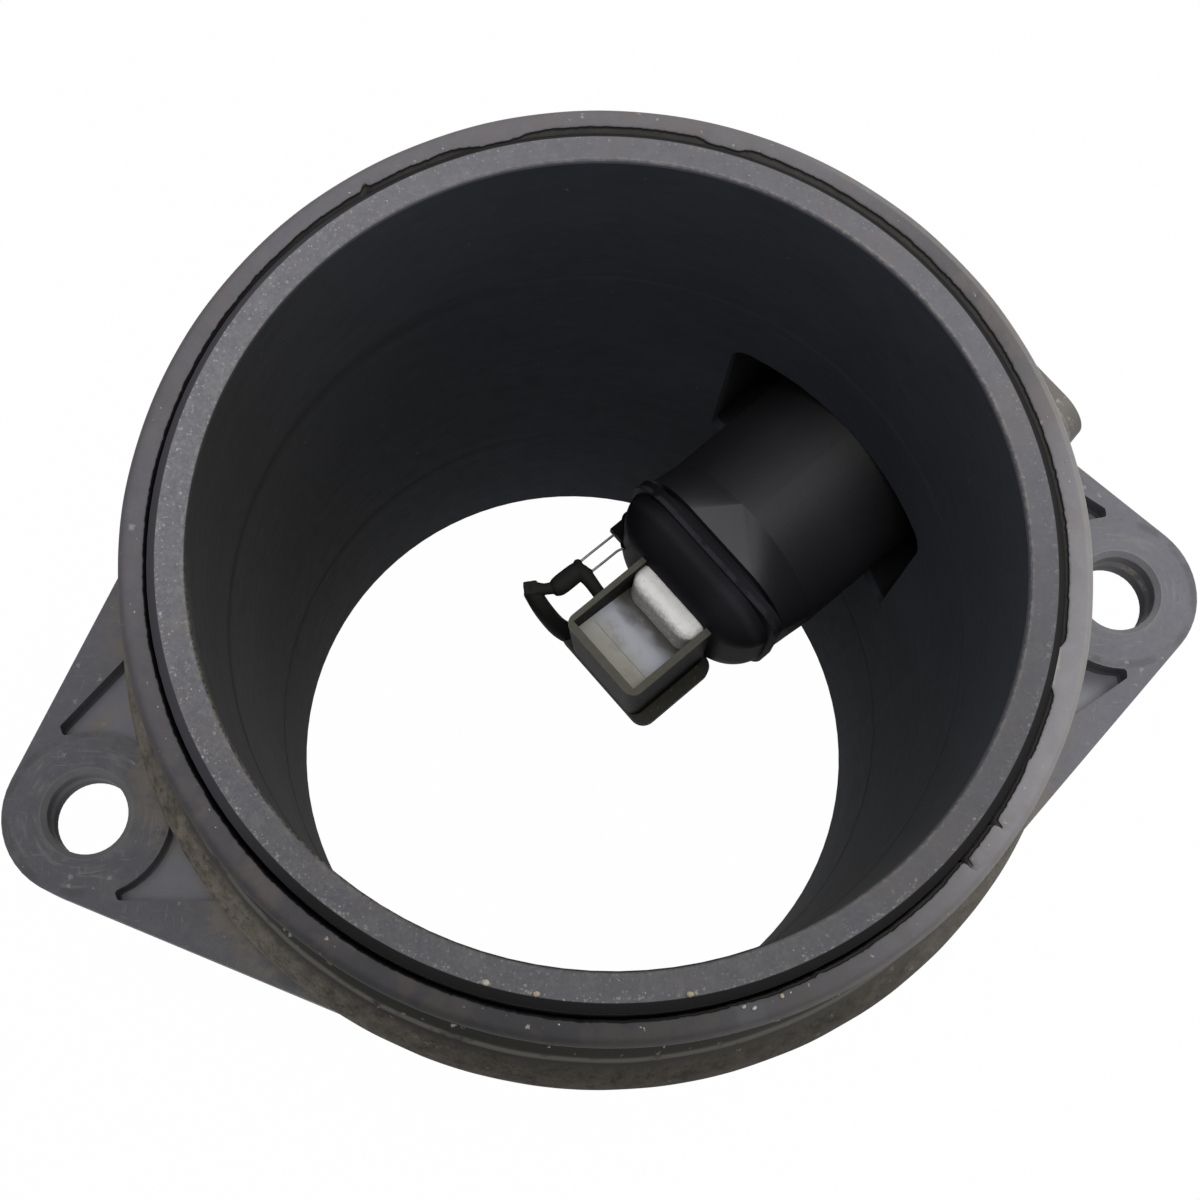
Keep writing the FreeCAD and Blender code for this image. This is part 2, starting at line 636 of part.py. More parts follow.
def bead_guard():
    """Curved arm from the foot to the bead, and a lug back to the frame."""
    root = V(FRAME_X0_FAR + 0.75, FOOT_Y1 - 0.3, FRAME_LOW - 0.5)
    mid = V(0.8, BEAD_Y0, PROBE_Z - 3.2)
    tip = V(0.75, BEAD_Y0 + 1.2, PROBE_Z - 0.5)
    arc = Part.Arc(root, mid, tip)
    path = Part.Wire(arc.toShape())
    first = path.Edges[0]
    ahead = first.tangentAt(first.FirstParameter)
    section = Part.Wire(Part.makeCircle(GUARD_R, root, ahead))
    arm = path.makePipeShell([section], True, True)
    joint = Part.makeSphere(GUARD_R, tip)
    a, b = bead_axis()
    inner = V(b.x + 0.1, b.y - 0.8, b.z)
    hook = bar(tip, a, GUARD_R - 0.15)
    grip = bar(b, inner, 0.7)
    lug = bar(V(inner.x, inner.y + 0.5, inner.z), V(b.x + 0.25, FRAME_Y1 - 0.1, b.z), 0.42)
    body = fuse([arm, joint, hook, grip, lug])
    return body.cut(temperature_bead()).cut(channel_frame())


def lead_path(k):
    """Corner points of one bead lead, from the bead to the board."""
    a, b = bead_axis()
    start = V(b.x + 0.5, b.y + 0.4 - 1.35 * k, PROBE_Z + 0.4 - 0.2 * k)
    face = V(10.6, 8.25 - 1.7 * k, PROBE_Z + 0.2)
    into = V(COLLAR_X - 1.0, 4.6 - 0.9 * k, PROBE_Z + 0.4)
    last = V(BOARD_X, 4.6 - 0.9 * k, PROBE_Z + 0.4)
    return [start, face, into, last]


def bead_lead(k):
    """One thin lead of the bead."""
    spots = lead_path(k)
    parts = []
    for a, b in zip(spots, spots[1:]):
        parts.append(bar(a, b, LEAD_R))
    for spot in spots[1:-1]:
        parts.append(Part.makeSphere(LEAD_R, spot))
    return fuse(parts)


def element_leads():
    """Flat strips between the film plate and the board."""
    strips = []
    for k in range(4):
        y = PROBE_Y - 2.7 + 1.5 * k
        z = PROBE_Z - (PLATE_END - 4.5) * math.sin(math.radians(PLATE_TILT)) + 0.1
        strips.append(box(PLATE_END - 0.04, BOARD_X, y, y + 0.6, z, z + STRIP_T))
    return Part.makeCompound(strips)


def circuit_board():
    """Board on four short posts."""
    mid = (BOARD_LOW + BOARD_TOP) / 2
    return slab(BOARD_X, BOARD_X + BOARD_T, 0, mid, BOARD_W, BOARD_TOP - BOARD_LOW, 1.0)


def signal_chip():
    """Signal processor on the board."""
    x = BOARD_X + BOARD_T
    return box(x, x + 1.2, -7.0, 1.0, PROBE_Z - 3.2, PROBE_Z + 4.8)


def small_chips():
    """Small components on the board."""
    x = BOARD_X + BOARD_T
    chips = []
    for k in range(3):
        z = PROBE_Z - 1.8 + 3.6 * k
        y = -8.0 + 3.4 * k
        chips.append(box(x, x + 0.8, 4.6, 7.6, z, z + 1.8))
        chips.append(box(x, x + 0.8, y, y + 1.8, PROBE_Z - 10.2, PROBE_Z - 7.2))
    return Part.makeCompound(chips)


def pin_links():
    """Short links between the terminals and the board."""
    x = BOARD_X + BOARD_T
    mid = (SHROUD_LOW + SHROUD_TOP) / 2
    links = []
    for k in range(PIN_COUNT):
        z = mid + (k - (PIN_COUNT - 1) / 2) * PIN_STEP
        y = PIN_ROOT_Y + 0.2
        links.append(box(x, PIN_X - PIN_T / 2, y, y + 1.2, z - 0.3, z + 0.3))
    return Part.makeCompound(links)


def connector_pins():
    """Five flat terminals."""
    pins = []
    for pin in pin_boxes(PIN_ROOT_Y, PIN_END_Y):
        ends = [e for e in pin.Edges if e.BoundBox.YMin > PIN_END_Y - 0.01]
        pins.append(pin.makeChamfer(0.2, ends))
    return Part.makeCompound(pins)


def cover_seal():
    """Bead of sealing compound on the tray's ledge."""
    inner_w = TRAY_W - 2 * TRAY_WALL
    inner_h = TRAY_H - 2 * TRAY_WALL
    x0 = TRAY_RIM_X - LEDGE
    bead = slab(x0, TRAY_RIM_X, 0, TRAY_MID, inner_w + 2 * LEDGE, inner_h + 2 * LEDGE, 1.8)
    bead = bead.cut(slab(x0 - 1, TRAY_RIM_X + 1, 0, TRAY_MID, inner_w, inner_h, 1.2))
    for pin in pin_boxes(12.0, SHROUD_BASE_Y):
        bead = bead.cut(pin)
    return bead


def electronics_cover():
    """Cover plate with an inner lip, shallow ribs and a lug."""
    top_x = TRAY_RIM_X + COVER_T
    plate = slab(TRAY_RIM_X, top_x, 0, TRAY_MID, TRAY_W, TRAY_H, TRAY_CORNER)
    inner_w = TRAY_W - 2 * TRAY_WALL - 2 * LOOSE
    inner_h = TRAY_H - 2 * TRAY_WALL - 2 * LOOSE
    lip = slab(TRAY_RIM_X - COVER_LIP, TRAY_RIM_X + 0.2, 0, TRAY_MID, inner_w, inner_h, 1.1)
    lip = lip.cut(slab(TRAY_RIM_X - 2, TRAY_RIM_X, 0, TRAY_MID, inner_w - 2.4, inner_h - 2.4, 0.6))
    for pin in pin_boxes(PIN_ROOT_Y - 0.4, SHROUD_BASE_Y, 0.3):
        lip = lip.cut(pin)
    relief = box(TRAY_RIM_X - 2, TRAY_RIM_X, 11.0, 14.0, SHROUD_LOW + 1, SHROUD_TOP - 1)
    lip = lip.cut(relief)
    ribs = []
    for k in range(3):
        z = TRAY_LOW + 5.5 + 4.5 * k
        ribs.append(slab(top_x - 0.2, top_x + 0.7, -4.0, z, 16, 1.4, 0.6))
    spots = [V(top_x - 0.3, 0, LUG_TOP), V(LUG_X, 0, LUG_TOP), V(LUG_X, 0, LUG_TOP - 1.6)]
    spots += [V(top_x - 0.3, 0, LUG_TOP - 7.0)]
    face = Part.Face(Part.makePolygon(spots + [spots[0]]))
    face.translate(V(0, LUG_Y0, 0))
    lug = face.extrude(V(0, LUG_Y1 - LUG_Y0, 0))
    outer = []
    for edge in lug.Edges:
        if edge.BoundBox.XMin > top_x and edge.BoundBox.ZMin > LUG_TOP - 1.7:
            outer.append(edge)
    lug = lug.makeFillet(LUG_ROUND, outer)
    return fuse([plate, lip, lug] + ribs)


def fixing_screws():
    """Two pan head screws with a socket in each head."""
    screws = []
    for y, z in SCREW_AT:
        seat = SEAT_X + EAR_T
        head = rod(seat, seat + SCREW_HEAD_T, y, z, SCREW_HEAD_R)
        rim = []
        for edge in head.Edges:
            box_ = edge.BoundBox
            if box_.XMin > seat + SCREW_HEAD_T - 0.01:
                rim.append(edge)
        head = head.makeChamfer(0.8, rim)
        shank = rod(SEAT_X - SCREW_LEN, seat + 0.2, y, z, SCREW_R)
        spots = []
        for k in range(13):
            a = math.radians(30 * k)
            r = 1.9 if k % 2 else 1.35
            spots.append(V(seat + 0.9, y + r * math.cos(a), z + r * math.sin(a)))
        socket = Part.Face(Part.makePolygon(spots)).extrude(V(4, 0, 0))
        screws.append(fuse([head, shank]).cut(socket))
    return Part.makeCompound(screws)


def main():
    """Build and write every piece."""
    save(duct_housing(), "duct_housing")
    save(port_seal(), "port_seal")
    frame = channel_frame()
    leads = [bead_lead(0), bead_lead(1)]
    nose = probe_nose().cut(frame)
    pad = sealing_pad()
    strips = element_leads()
    plate = film_plate()
    for other in (plate, leads[0], leads[1]):
        nose = nose.cut(other)
    for strip in strips.Solids:
        nose = nose.cut(strip)
    guard = bead_guard()
    bead = temperature_bead()
    for lead in leads:
        guard = guard.cut(lead)
        bead = bead.cut(lead)
    pieces = {
        "sensor_body": sensor_body(),
        "body_seal_ring": seal_ring(),
        "probe_nose": nose,
        "channel_frame": frame,
        "bead_guard": guard,
        "temperature_bead": bead,
        "bead_lead_upper": leads[0],
        "bead_lead_lower": leads[1],
        "sealing_pad": pad,
        "film_plate": plate,
        "heater_film": heater_film(),
        "element_leads": strips,
        "circuit_board": circuit_board(),
        "signal_chip": signal_chip(),
        "board_components": small_chips(),
        "connector_pins": connector_pins(),
        "pin_links": pin_links(),
        "cover_seal_bead": cover_seal(),
        "electronics_cover": electronics_cover(),
        "fixing_screws": fixing_screws(),
    }
    for name, shape in pieces.items():
        save(turned(shape), name)


main()
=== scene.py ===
"""Looks of a mass airflow sensor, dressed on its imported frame."""
import logging
import math
from dataclasses import dataclass
from enum import Enum
from random import Random
from typing import Any, Callable, Iterable, Optional, Sequence, Union

import bmesh
import bpy
from bmesh.types import BMesh, BMEdge
from bpy.types import Material, Mesh, Node, NodeSocket, Object
from mathutils import Matrix, Vector, noise


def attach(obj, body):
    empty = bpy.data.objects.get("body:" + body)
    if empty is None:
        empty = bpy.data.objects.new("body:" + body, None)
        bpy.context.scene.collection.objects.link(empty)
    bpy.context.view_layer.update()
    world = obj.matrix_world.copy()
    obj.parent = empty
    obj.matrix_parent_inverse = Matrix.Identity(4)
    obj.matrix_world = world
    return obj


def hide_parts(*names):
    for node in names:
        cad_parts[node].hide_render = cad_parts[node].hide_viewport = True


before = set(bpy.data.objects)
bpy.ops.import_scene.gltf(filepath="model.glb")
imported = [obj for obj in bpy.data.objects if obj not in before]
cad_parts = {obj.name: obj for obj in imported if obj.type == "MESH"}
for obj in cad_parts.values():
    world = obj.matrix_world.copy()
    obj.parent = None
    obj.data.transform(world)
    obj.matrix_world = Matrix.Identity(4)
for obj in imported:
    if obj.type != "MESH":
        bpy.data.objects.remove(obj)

LOG = logging.getLogger("airflow_sensor")
MM = 0.001
WHITE = 255.0
# The direction in which the probe's outer end points.
PROBE_AZIMUTH = math.radians(40.9)
# Heights above the hose end, in mm.
PROBE_HEIGHT = 40.2
SPIGOT_TOP = 78.2
SEAL_TOP = 77.4
FLANGE_TOP = 57.4
# The two heights between which the floors of the flange's pockets lie.
POCKET_FLOOR = (54.4, 55.6)
# Half the height of the probe's opening, with its rounded edge.
OPENING_HALF = 10.1
# Radii round the duct's axis, in mm.
BORE_RADIUS = 31.0
SPIGOT_FACE = 33.3
SEAL_BORE = 33.93
SEAL_BULGE = 38.6
# The centres of the flange's two holes, in mm.
HOLES = ((44.517, 2.723), (-41.235, -16.996))
Tint = tuple[float, float, float]
Table = tuple[tuple[float, ...], ...]
Colour = tuple[float, float, float, float]


def tone(level: float, tint: Tint = (1.0, 1.0, 1.0)) -> Colour:
    """Turn a display level into a linear colour.

    Args:
        level: Brightness as shown, from 0 to 255.
        tint: Factors for red, green and blue on the shown level.

    Returns:
        The linear colour with an alpha of 1.
    """
    parts = []
    for share in tint:
        shown = min(1.0, level * share / WHITE)
        linear = shown / 12.92 if shown <= 0.04045 else ((shown + 0.055) / 1.055) ** 2.4
        parts.append(linear)
    return (parts[0], parts[1], parts[2], 1.0)


def clamped(value: float) -> float:
    """Keep a value between 0 and 1."""
    return min(1.0, max(0.0, value))


def along_probe(x: float, y: float, z: float) -> Vector:
    """Place a point given in the probe's own directions.

    Args:
        x: Distance from the duct's axis along the probe, in mm.
        y: Distance across the probe, in mm.
        z: Height above the hose end, in mm.

    Returns:
        The point in metres, in the part's frame.
    """
    turn = Matrix.Rotation(PROBE_AZIMUTH, 3, "Z")
    return turn @ Vector((x, y, z)) * MM


def around_duct(radius: float, azimuth: float, z: float) -> Vector:
    """Place a point by its radius in mm, azimuth in degrees and height in mm."""
    turn = math.radians(azimuth)
    return Vector((radius * math.cos(turn), radius * math.sin(turn), z)) * MM


def operator(operation: str, number_first: bool = False) -> Callable[["Signal", "Number"], "Signal"]:
    """Make one arithmetic method of Signal.

    Args:
        operation: The Math node's operation.
        number_first: Whether the other value stands before the signal.

    Returns:
        The method.
    """
    def method(self: "Signal", other: "Number") -> "Signal":
        """Join the signal and a number or signal by a Math node."""
        values = (other, self) if number_first else (self, other)
        return self.lab.maths(operation, *values)

    return method


class Signal:
    """A value between shader sockets, whose sums and products add Math nodes."""

    def __init__(self, lab: "ShaderLab", socket: NodeSocket) -> None:
        """Wrap one output socket of the lab's material."""
        self.lab = lab
        self.socket = socket

    __add__ = operator("ADD")
    __radd__ = operator("ADD", True)
    __sub__ = operator("SUBTRACT")
    __rsub__ = operator("SUBTRACT", True)
    __mul__ = operator("MULTIPLY")
    __rmul__ = operator("MULTIPLY", True)
    __truediv__ = operator("DIVIDE")


class Paint:
    """A colour that is laid on layer by layer."""

    def __init__(self, lab: "ShaderLab", socket: NodeSocket) -> None:
        """Start from one colour socket of the lab's material."""
        self.lab = lab
        self.socket = socket

    def lay(self, colour: "Source", mask: "Number") -> None:
        """Cover the paint with another colour where the mask is 1."""
        made = self.lab.node("ShaderNodeMix", {"data_type": "RGBA"}, {0: mask, 6: self, 7: colour})
        self.socket = made.outputs[2]

    def dim(self, factor: "Number") -> None:
        """Multiply the paint by a value."""
        made = self.lab.node("ShaderNodeVectorMath", {"operation": "SCALE"}, {0: self, "Scale": factor})
        self.socket = made.outputs[0]


Number = Union[float, Signal]
Source = Union[float, Sequence[float], Signal, Paint, NodeSocket]


class ShaderLab:
    """Builds the nodes of one material. Lengths in it are in mm."""

    def __init__(self, name: str) -> None:
        """Start a material with one surface shader.

        Args:
            name: Name of the material.
        """
        self.material = bpy.data.materials.new(name)
        self.material.use_nodes = True
        self.tree = self.material.node_tree
        self.tree.nodes.clear()
        self.surface = self.node("ShaderNodeBsdfPrincipled")
        self.output = self.node("ShaderNodeOutputMaterial", {}, {"Surface": self.surface.outputs[0]})
        coordinates = self.node("ShaderNodeTexCoord")
        grown = self.node("ShaderNodeVectorMath", {"operation": "SCALE"},
                          {0: coordinates.outputs["Object"], "Scale": 1000.0})
        self.place = grown.outputs[0]
        split = self.node("ShaderNodeSeparateXYZ", {}, {0: self.place})
        self.x, self.y, self.z = (Signal(self, socket) for socket in split.outputs)

    def node(self, kind: str, settings: Optional[dict[str, Any]] = None,
             inputs: Optional[dict[Union[str, int], Source]] = None) -> Node:
        """Add one node.

        Args:
            kind: Type name of the node.
            settings: Its own settings, set before its inputs.
            inputs: Values or links of its sockets, by name or number.

        Returns:
            The node.
        """
        made = self.tree.nodes.new(kind)
        for key, value in (settings or {}).items():
            setattr(made, key, value)
        for key, value in (inputs or {}).items():
            self.feed(made.inputs[key], value)
        return made

    def feed(self, socket: NodeSocket, value: Source) -> None:
        """Link or set one input socket.

        Args:
            socket: The input.
            value: A signal, a paint, an output socket, or a plain value.
        """
        if isinstance(value, (Signal, Paint)):
            value = value.socket
        if isinstance(value, NodeSocket):
            self.tree.links.new(value, socket)
        else:
            socket.default_value = value

    def maths(self, operation: str, *values: Number) -> Signal:
        """Add a Math node over the values and return its result."""
        made = self.node("ShaderNodeMath", {"operation": operation}, dict(enumerate(values)))
        return Signal(self, made.outputs[0])

    def rise(self, value: Number, edge: float, soft: float) -> Signal:
        """Step softly from 0 to 1.

        Args:
            value: The value that is compared.
            edge: Where the step is half way.
            soft: Half the width of the step.

        Returns:
            0 below the edge, 1 above it.
        """
        made = self.node("ShaderNodeMapRange", {"interpolation_type": "SMOOTHSTEP"},
                         {"Value": value, "From Min": edge - soft, "From Max": edge + soft})
        return Signal(self, made.outputs[0])

    def band(self, value: Number, low: float, high: float, soft: float) -> Signal:
        """Mask that is 1 between two limits and falls off softly outside them."""
        return self.rise(value, low, soft) * (1.0 - self.rise(value, high, soft))

    def radius(self, x: float = 0.0, y: float = 0.0) -> Signal:
        """Distance from an upright line through x and y, in mm."""
        across = self.x - x
        along = self.y - y
        return self.maths("SQRT", across * across + along * along)

    def toward(self, azimuth: float) -> Signal:
        """Share from -1 to 1 of how far a point lies towards an azimuth in degrees."""
        turn = math.radians(azimuth)
        return (self.x * math.cos(turn) + self.y * math.sin(turn)) / (self.radius() + 0.001)

    def facing(self, azimuth: float, edge: float, soft: float) -> Signal:
        """Mask of the side that faces an azimuth in degrees."""
        return self.rise(self.toward(azimuth), edge, soft)

    def above(self, height: float, soft: float) -> Signal:
        """Mask of what lies above a height in mm."""
        return self.rise(self.z, height, soft)

    def blots(self, noise_shape: tuple[float, ...], edge: float, soft: float) -> Signal:
        """Mask of the places where a noise of the given scale, detail and roughness is high."""
        return self.rise(self.cloud(*noise_shape), edge, soft)

    def along_probe(self) -> Signal:
        """Distance from the duct's axis along the probe, in mm."""
        return self.x * math.cos(PROBE_AZIMUTH) + self.y * math.sin(PROBE_AZIMUTH)

    def across_probe(self) -> Signal:
        """Distance across the probe from its middle, in mm."""
        return self.y * math.cos(PROBE_AZIMUTH) - self.x * math.sin(PROBE_AZIMUTH)

    def stretched(self, x: float, y: float, z: float) -> NodeSocket:
        """Coordinates multiplied by one factor for each direction."""
        made = self.node("ShaderNodeVectorMath", {"operation": "MULTIPLY"},
                         {0: self.place, 1: (x, y, z)})
        return made.outputs[0]

    def ringwise(self, around: float, outward: float, upward: float, x: float = 0.0,
                 y: float = 0.0) -> NodeSocket:
        """Coordinates that run around an upright line, with no seam.

        Args:
            around: Factor on the direction around the line.
            outward: Factor on the radius.
            upward: Factor on the height.
            x: Place of the line in mm.
            y: Place of the line in mm.

        Returns:
            A vector socket for a texture.
        """
        across = self.x - x
        along = self.y - y
        reach = self.maths("SQRT", across * across + along * along) + 0.001
        depth = reach * outward + self.z * upward
        made = self.node("ShaderNodeCombineXYZ", {},
                         {0: across / reach * around, 1: along / reach * around, 2: depth})
        return made.outputs[0]

    def cloud(self, scale: float, detail: float = 3.0, rough: float = 0.55,
              place: Optional[NodeSocket] = None) -> Signal:
        """Noise from 0 to 1.

        Args:
            scale: Features per mm.
            detail: Octaves.
            rough: Weight of the fine octaves.
            place: Coordinates, or the object's own if left out.

        Returns:
            The noise value.
        """
        made = self.node("ShaderNodeTexNoise", {},
                         {"Vector": place or self.place, "Scale": scale, "Detail": detail,
                          "Roughness": rough})
        return Signal(self, made.outputs[0])

    def specks(self, scale: float, size: float, share: float,
               place: Optional[NodeSocket] = None) -> Signal:
        """Scattered specks of mixed sizes.

        Args:
            scale: Cells per mm.
            size: Largest radius, as a share of a cell.
            share: Share of the cells that hold a speck.
            place: Coordinates, or the object's own if left out.

        Returns:
            A mask of the specks.
        """
        ragged = self.node("ShaderNodeTexNoise", {},
                           {"Vector": place or self.place, "Scale": scale * 2.6, "Detail": 2.0})
        pushed = self.node("ShaderNodeVectorMath", {"operation": "MULTIPLY_ADD"},
                           {0: ragged.outputs[1], 1: (0.9 / scale,) * 3, 2: place or self.place})
        cells = self.node("ShaderNodeTexVoronoi", {}, {"Vector": pushed.outputs[0], "Scale": scale})
        pick = self.node("ShaderNodeSeparateColor", {}, {0: cells.outputs[1]})
        chosen = self.rise(Signal(self, pick.outputs[0]), 1.0 - share, 0.004)
        reach = Signal(self, pick.outputs[1]) * size
        shape = self.rise(reach - Signal(self, cells.outputs[0]), 0.0, 0.06)
        return shape * chosen

    def paint(self, first: Source, second: Source, mask: Number) -> Paint:
        """Start a paint that goes from the first colour to the second with the mask."""
        made = self.node("ShaderNodeMix", {"data_type": "RGBA"}, {0: mask, 6: first, 7: second})
        return Paint(self, made.outputs[2])

    def bump(self, height: Number, distance: float, strength: float = 1.0) -> None:
        """Lay a relief over the surface.

        Args:
            height: The relief from 0 to 1.
            distance: Its depth in mm.
            strength: How much of it is used.
        """
        before = self.surface.inputs["Normal"].links
        inputs: dict[Union[str, int], Source] = {"Height": height, "Distance": distance * MM,
                                                 "Strength": strength}
        if before:
            inputs["Normal"] = before[0].from_socket
        made = self.node("ShaderNodeBump", {}, inputs)
        self.feed(self.surface.inputs["Normal"], made.outputs[0])

    def coat(self, colour: Source, roughness: Number, gloss: float = 0.5,
             metal: float = 0.0) -> Material:
        """Set the surface and return the material.

        Args:
            colour: Base colour.
            roughness: Roughness.
            gloss: Specular level.
            metal: Metallic.

        Returns:
            The finished material.
        """
        self.feed(self.surface.inputs["Base Color"], colour)
        self.feed(self.surface.inputs["Roughness"], roughness)
        self.surface.inputs["Specular IOR Level"].default_value = gloss
        self.surface.inputs["Metallic"].default_value = metal
        return self.material


@dataclass(frozen=True)
class DuctPlastic:
    """Charcoal plastic of the duct: chipped spigot, scuffed flange, dark bore."""

    name: str = "duct_plastic_worn"
    flange: float = 104.0
    spigot: float = 102.0
    bore: float = 38.0

    def make(self) -> Material:
        """Build the material."""
        lab = ShaderLab(self.name)
        reach = lab.radius()
        broad = lab.cloud(0.09, 4.0)
        fine = lab.cloud(1.6, 4.0, 0.7)
        colour = lab.paint(tone(self.flange - 14, (0.985, 0.975, 1.04)),
                           tone(self.flange + 10, (0.99, 0.98, 1.03)), broad)
        colour.dim(fine * 0.4 + 0.8)
        # Painted shade: the duct is darker on the side towards -120 degrees, the lower left.
        colour.dim(1.0 - lab.facing(-120.0, 0.68, 0.12) * 0.26)
        self.scuffs(lab, colour)
        self.washer_marks(lab, colour)
        self.dust(lab, colour, reach)
        self.opening(lab, colour, reach)
        self.spigot_face(lab, colour, reach)
        inside = 1.0 - lab.rise(reach, BORE_RADIUS + 0.12, 0.06)
        self.bore_wall(lab, colour, inside)
        rough = lab.cloud(0.8, 3.0) * 0.16 + 0.56 + inside * 0.26
        lab.bump(lab.cloud(4.0, 3.0, 0.6), 0.04, 0.4)
        lab.bump(lab.cloud(0.5, 2.0), 0.1, 0.35)
        return lab.coat(colour, rough, 0.18)

    def scuffs(self, lab: ShaderLab, colour: Paint) -> None:
        """Scratch the flange with short pale strokes.

        Args:
            lab: The material's lab.
            colour: The colour so far.
        """
        on_top = lab.above(FLANGE_TOP - 0.5, 0.2) * (1.0 - lab.above(60.0, 0.2))
        for across, along in ((0.5, 3.2), (3.0, 0.7)):
            strokes = lab.cloud(1.0, 3.0, 0.7, lab.stretched(across, along, 1.0))
            colour.lay(tone(120, (1.0, 0.99, 0.99)), lab.rise(strokes, 0.66, 0.04) * on_top * 0.45)
        smear = lab.blots((0.35, 4.0, 0.7), 0.58, 0.08) * on_top
        colour.lay(tone(106, (1.0, 0.98, 0.99)), smear * 0.4)

    def washer_marks(self, lab: ShaderLab, colour: Paint) -> None:
        """Rub round marks into the flange around both holes.

        Args:
            lab: The material's lab.
            colour: The colour so far.
        """
        on_top = lab.above(FLANGE_TOP - 0.8, 0.2)
        for x, y in HOLES:
            reach = lab.radius(x, y)
            streaks = lab.cloud(1.0, 5.0, 0.7, lab.ringwise(1.8, 3.0, 0.0, x, y))
            broken = lab.cloud(0.5, 3.0)
            zone = lab.band(reach, 3.8, 6.3, 0.5) * on_top
            worn = lab.rise(streaks, 0.58, 0.1) * lab.rise(broken, 0.46, 0.1)
            colour.lay(tone(122, (1.0, 0.99, 0.99)), zone * worn * 0.55)
            colour.lay(tone(62),
                       lab.band(reach, 6.1, 6.7, 0.2) * on_top * lab.rise(broken, 0.5, 0.1) * 0.4)
            rim = lab.band(reach, 3.25, 3.75, 0.12) * lab.above(FLANGE_TOP - 0.5, 0.1)
            colour.lay(tone(124), rim * (broken * 0.8 + 0.1))

    def dust(self, lab: ShaderLab, colour: Paint, reach: Signal) -> None:
        """Lay tan dust beside the seal and in the flange's recesses, and make the pockets' floors paler
        as painted light.

        Args:
            lab: The material's lab.
            colour: The colour so far.
            reach: Distance from the duct's axis.
        """
        outer = lab.band(lab.z, 54.2, 57.8, 0.3)
        patches = lab.cloud(0.45, 5.0, 0.7)
        beside = (1.0 - lab.rise(reach, 40.4, 1.8)) * lab.rise(reach, 36.0, 0.5) * outer
        colour.lay(tone(118, (1.0, 0.95, 0.86)), beside * lab.rise(patches, 0.48, 0.12) * 0.75)
        # Painted light: the pockets' floors are paler than the flange, to undo the shade that falls
        # into them.
        floor = lab.band(lab.z, *POCKET_FLOOR, 0.15) * lab.rise(reach, 35.5, 0.5)
        colour.lay(tone(134, (0.98, 0.985, 1.03)), floor * (patches * 0.3 + 0.7))
        left = lab.facing(180.0, 0.2, 0.2)
        colour.lay(tone(134, (1.0, 0.93, 0.84)), floor * left * lab.rise(patches, 0.56, 0.06) * 0.6)
        debris = lab.facing(5.6, 0.9996, 0.0003) * floor
        colour.lay(tone(176, (1.0, 0.96, 0.88)), debris * lab.blots((1.3, 4.0, 0.7), 0.52, 0.04))
        chips = lab.specks(1.6, 0.3, 0.12) * outer
        colour.lay(tone(150, (1.0, 0.99, 0.95)), chips * 0.5)

    def opening(self, lab: ShaderLab, colour: Paint, reach: Signal) -> None:
        """Darken the walls of the probe's opening with painted shade, as dark as the bore.

        Args:
            lab: The material's lab.
            colour: The colour so far.
            reach: Distance from the duct's axis.
        """
        side = lab.facing(math.degrees(PROBE_AZIMUTH), 0.9, 0.02)
        near = 1.0 - lab.rise(reach, 38.4, 0.3)
        level = lab.band(lab.z, PROBE_HEIGHT - OPENING_HALF, PROBE_HEIGHT + OPENING_HALF, 0.2)
        # Painted shade on the walls of the opening.
        colour.lay(tone(30.0, (0.98, 1.0, 1.05)), side * near * level)

    def spigot_face(self, lab: ShaderLab, colour: Paint, reach: Signal) -> None:
        """Grey end face of the spigot, most chipped towards the lower left, with painted shade towards
        the bottom and on its bevel.

        Args:
            lab: The material's lab.
            colour: The colour so far.
            reach: Distance from the duct's axis.
        """
        face = lab.above(SPIGOT_TOP - 0.9, 0.08) * lab.rise(reach, BORE_RADIUS - 0.1, 0.05)
        low = lab.facing(-80.0, 0.2, 0.6)
        worn = lab.facing(-150.0, 0.1, 0.7)
        mottle = lab.cloud(0.55, 6.0, 0.75)
        grain = lab.cloud(3.2, 4.0, 0.8)
        grey = lab.paint(tone(self.spigot - 12, (0.99, 0.98, 1.04)),
                         tone(self.spigot + 14, (1.0, 0.985, 1.02)), mottle)
        grey.dim(grain * (worn * 0.7 + 0.3) + (0.87 - worn * 0.32))
        smudge = lab.blots((0.9, 5.0, 0.75), 0.58, 0.07)
        grey.lay(tone(124, (1.0, 1.0, 0.99)), smudge * (worn * 0.4 + 0.15))
        pink = lab.blots((0.25, 3.0), 0.6, 0.06)
        grey.lay(tone(108, (1.03, 0.97, 0.96)), pink * 0.35)
        edge = lab.rise(reach, 32.5, 0.5)
        dots = lab.specks(4.4, 0.42, 0.34)
        chips = lab.specks(2.3, 0.32, 0.2)
        grey.lay(tone(150), dots * (edge * 0.4 + worn * 0.45 + 0.12))
        grey.lay(tone(176, (1.0, 0.99, 0.97)),
                 chips * (edge * (worn * 0.3 + low * 0.4) + worn * 0.25 + 0.14))
        crumbled = lab.blots((2.6, 4.0, 0.7), 0.6, 0.05) * lab.band(reach, 32.75, 33.2, 0.12)
        grey.lay(tone(172, (1.0, 0.98, 0.95)), crumbled * (worn * 0.25 + low * 0.45 + 0.08))
        rim = (1.0 - lab.rise(reach, BORE_RADIUS + 0.35, 0.2)) * lab.blots((1.6, 4.0, 0.7), 0.52, 0.06)
        right = lab.facing(20.0, 0.3, 0.5)
        grey.lay(tone(150, (1.0, 0.96, 0.88)), rim * (right * 0.6 + worn * 0.3))
        # Painted shade towards the bottom (-80 degrees); the face is also darker towards 42 degrees.
        grey.dim(1.0 - low * 0.46 - lab.facing(42.0, 0.5, 0.4) * 0.16)
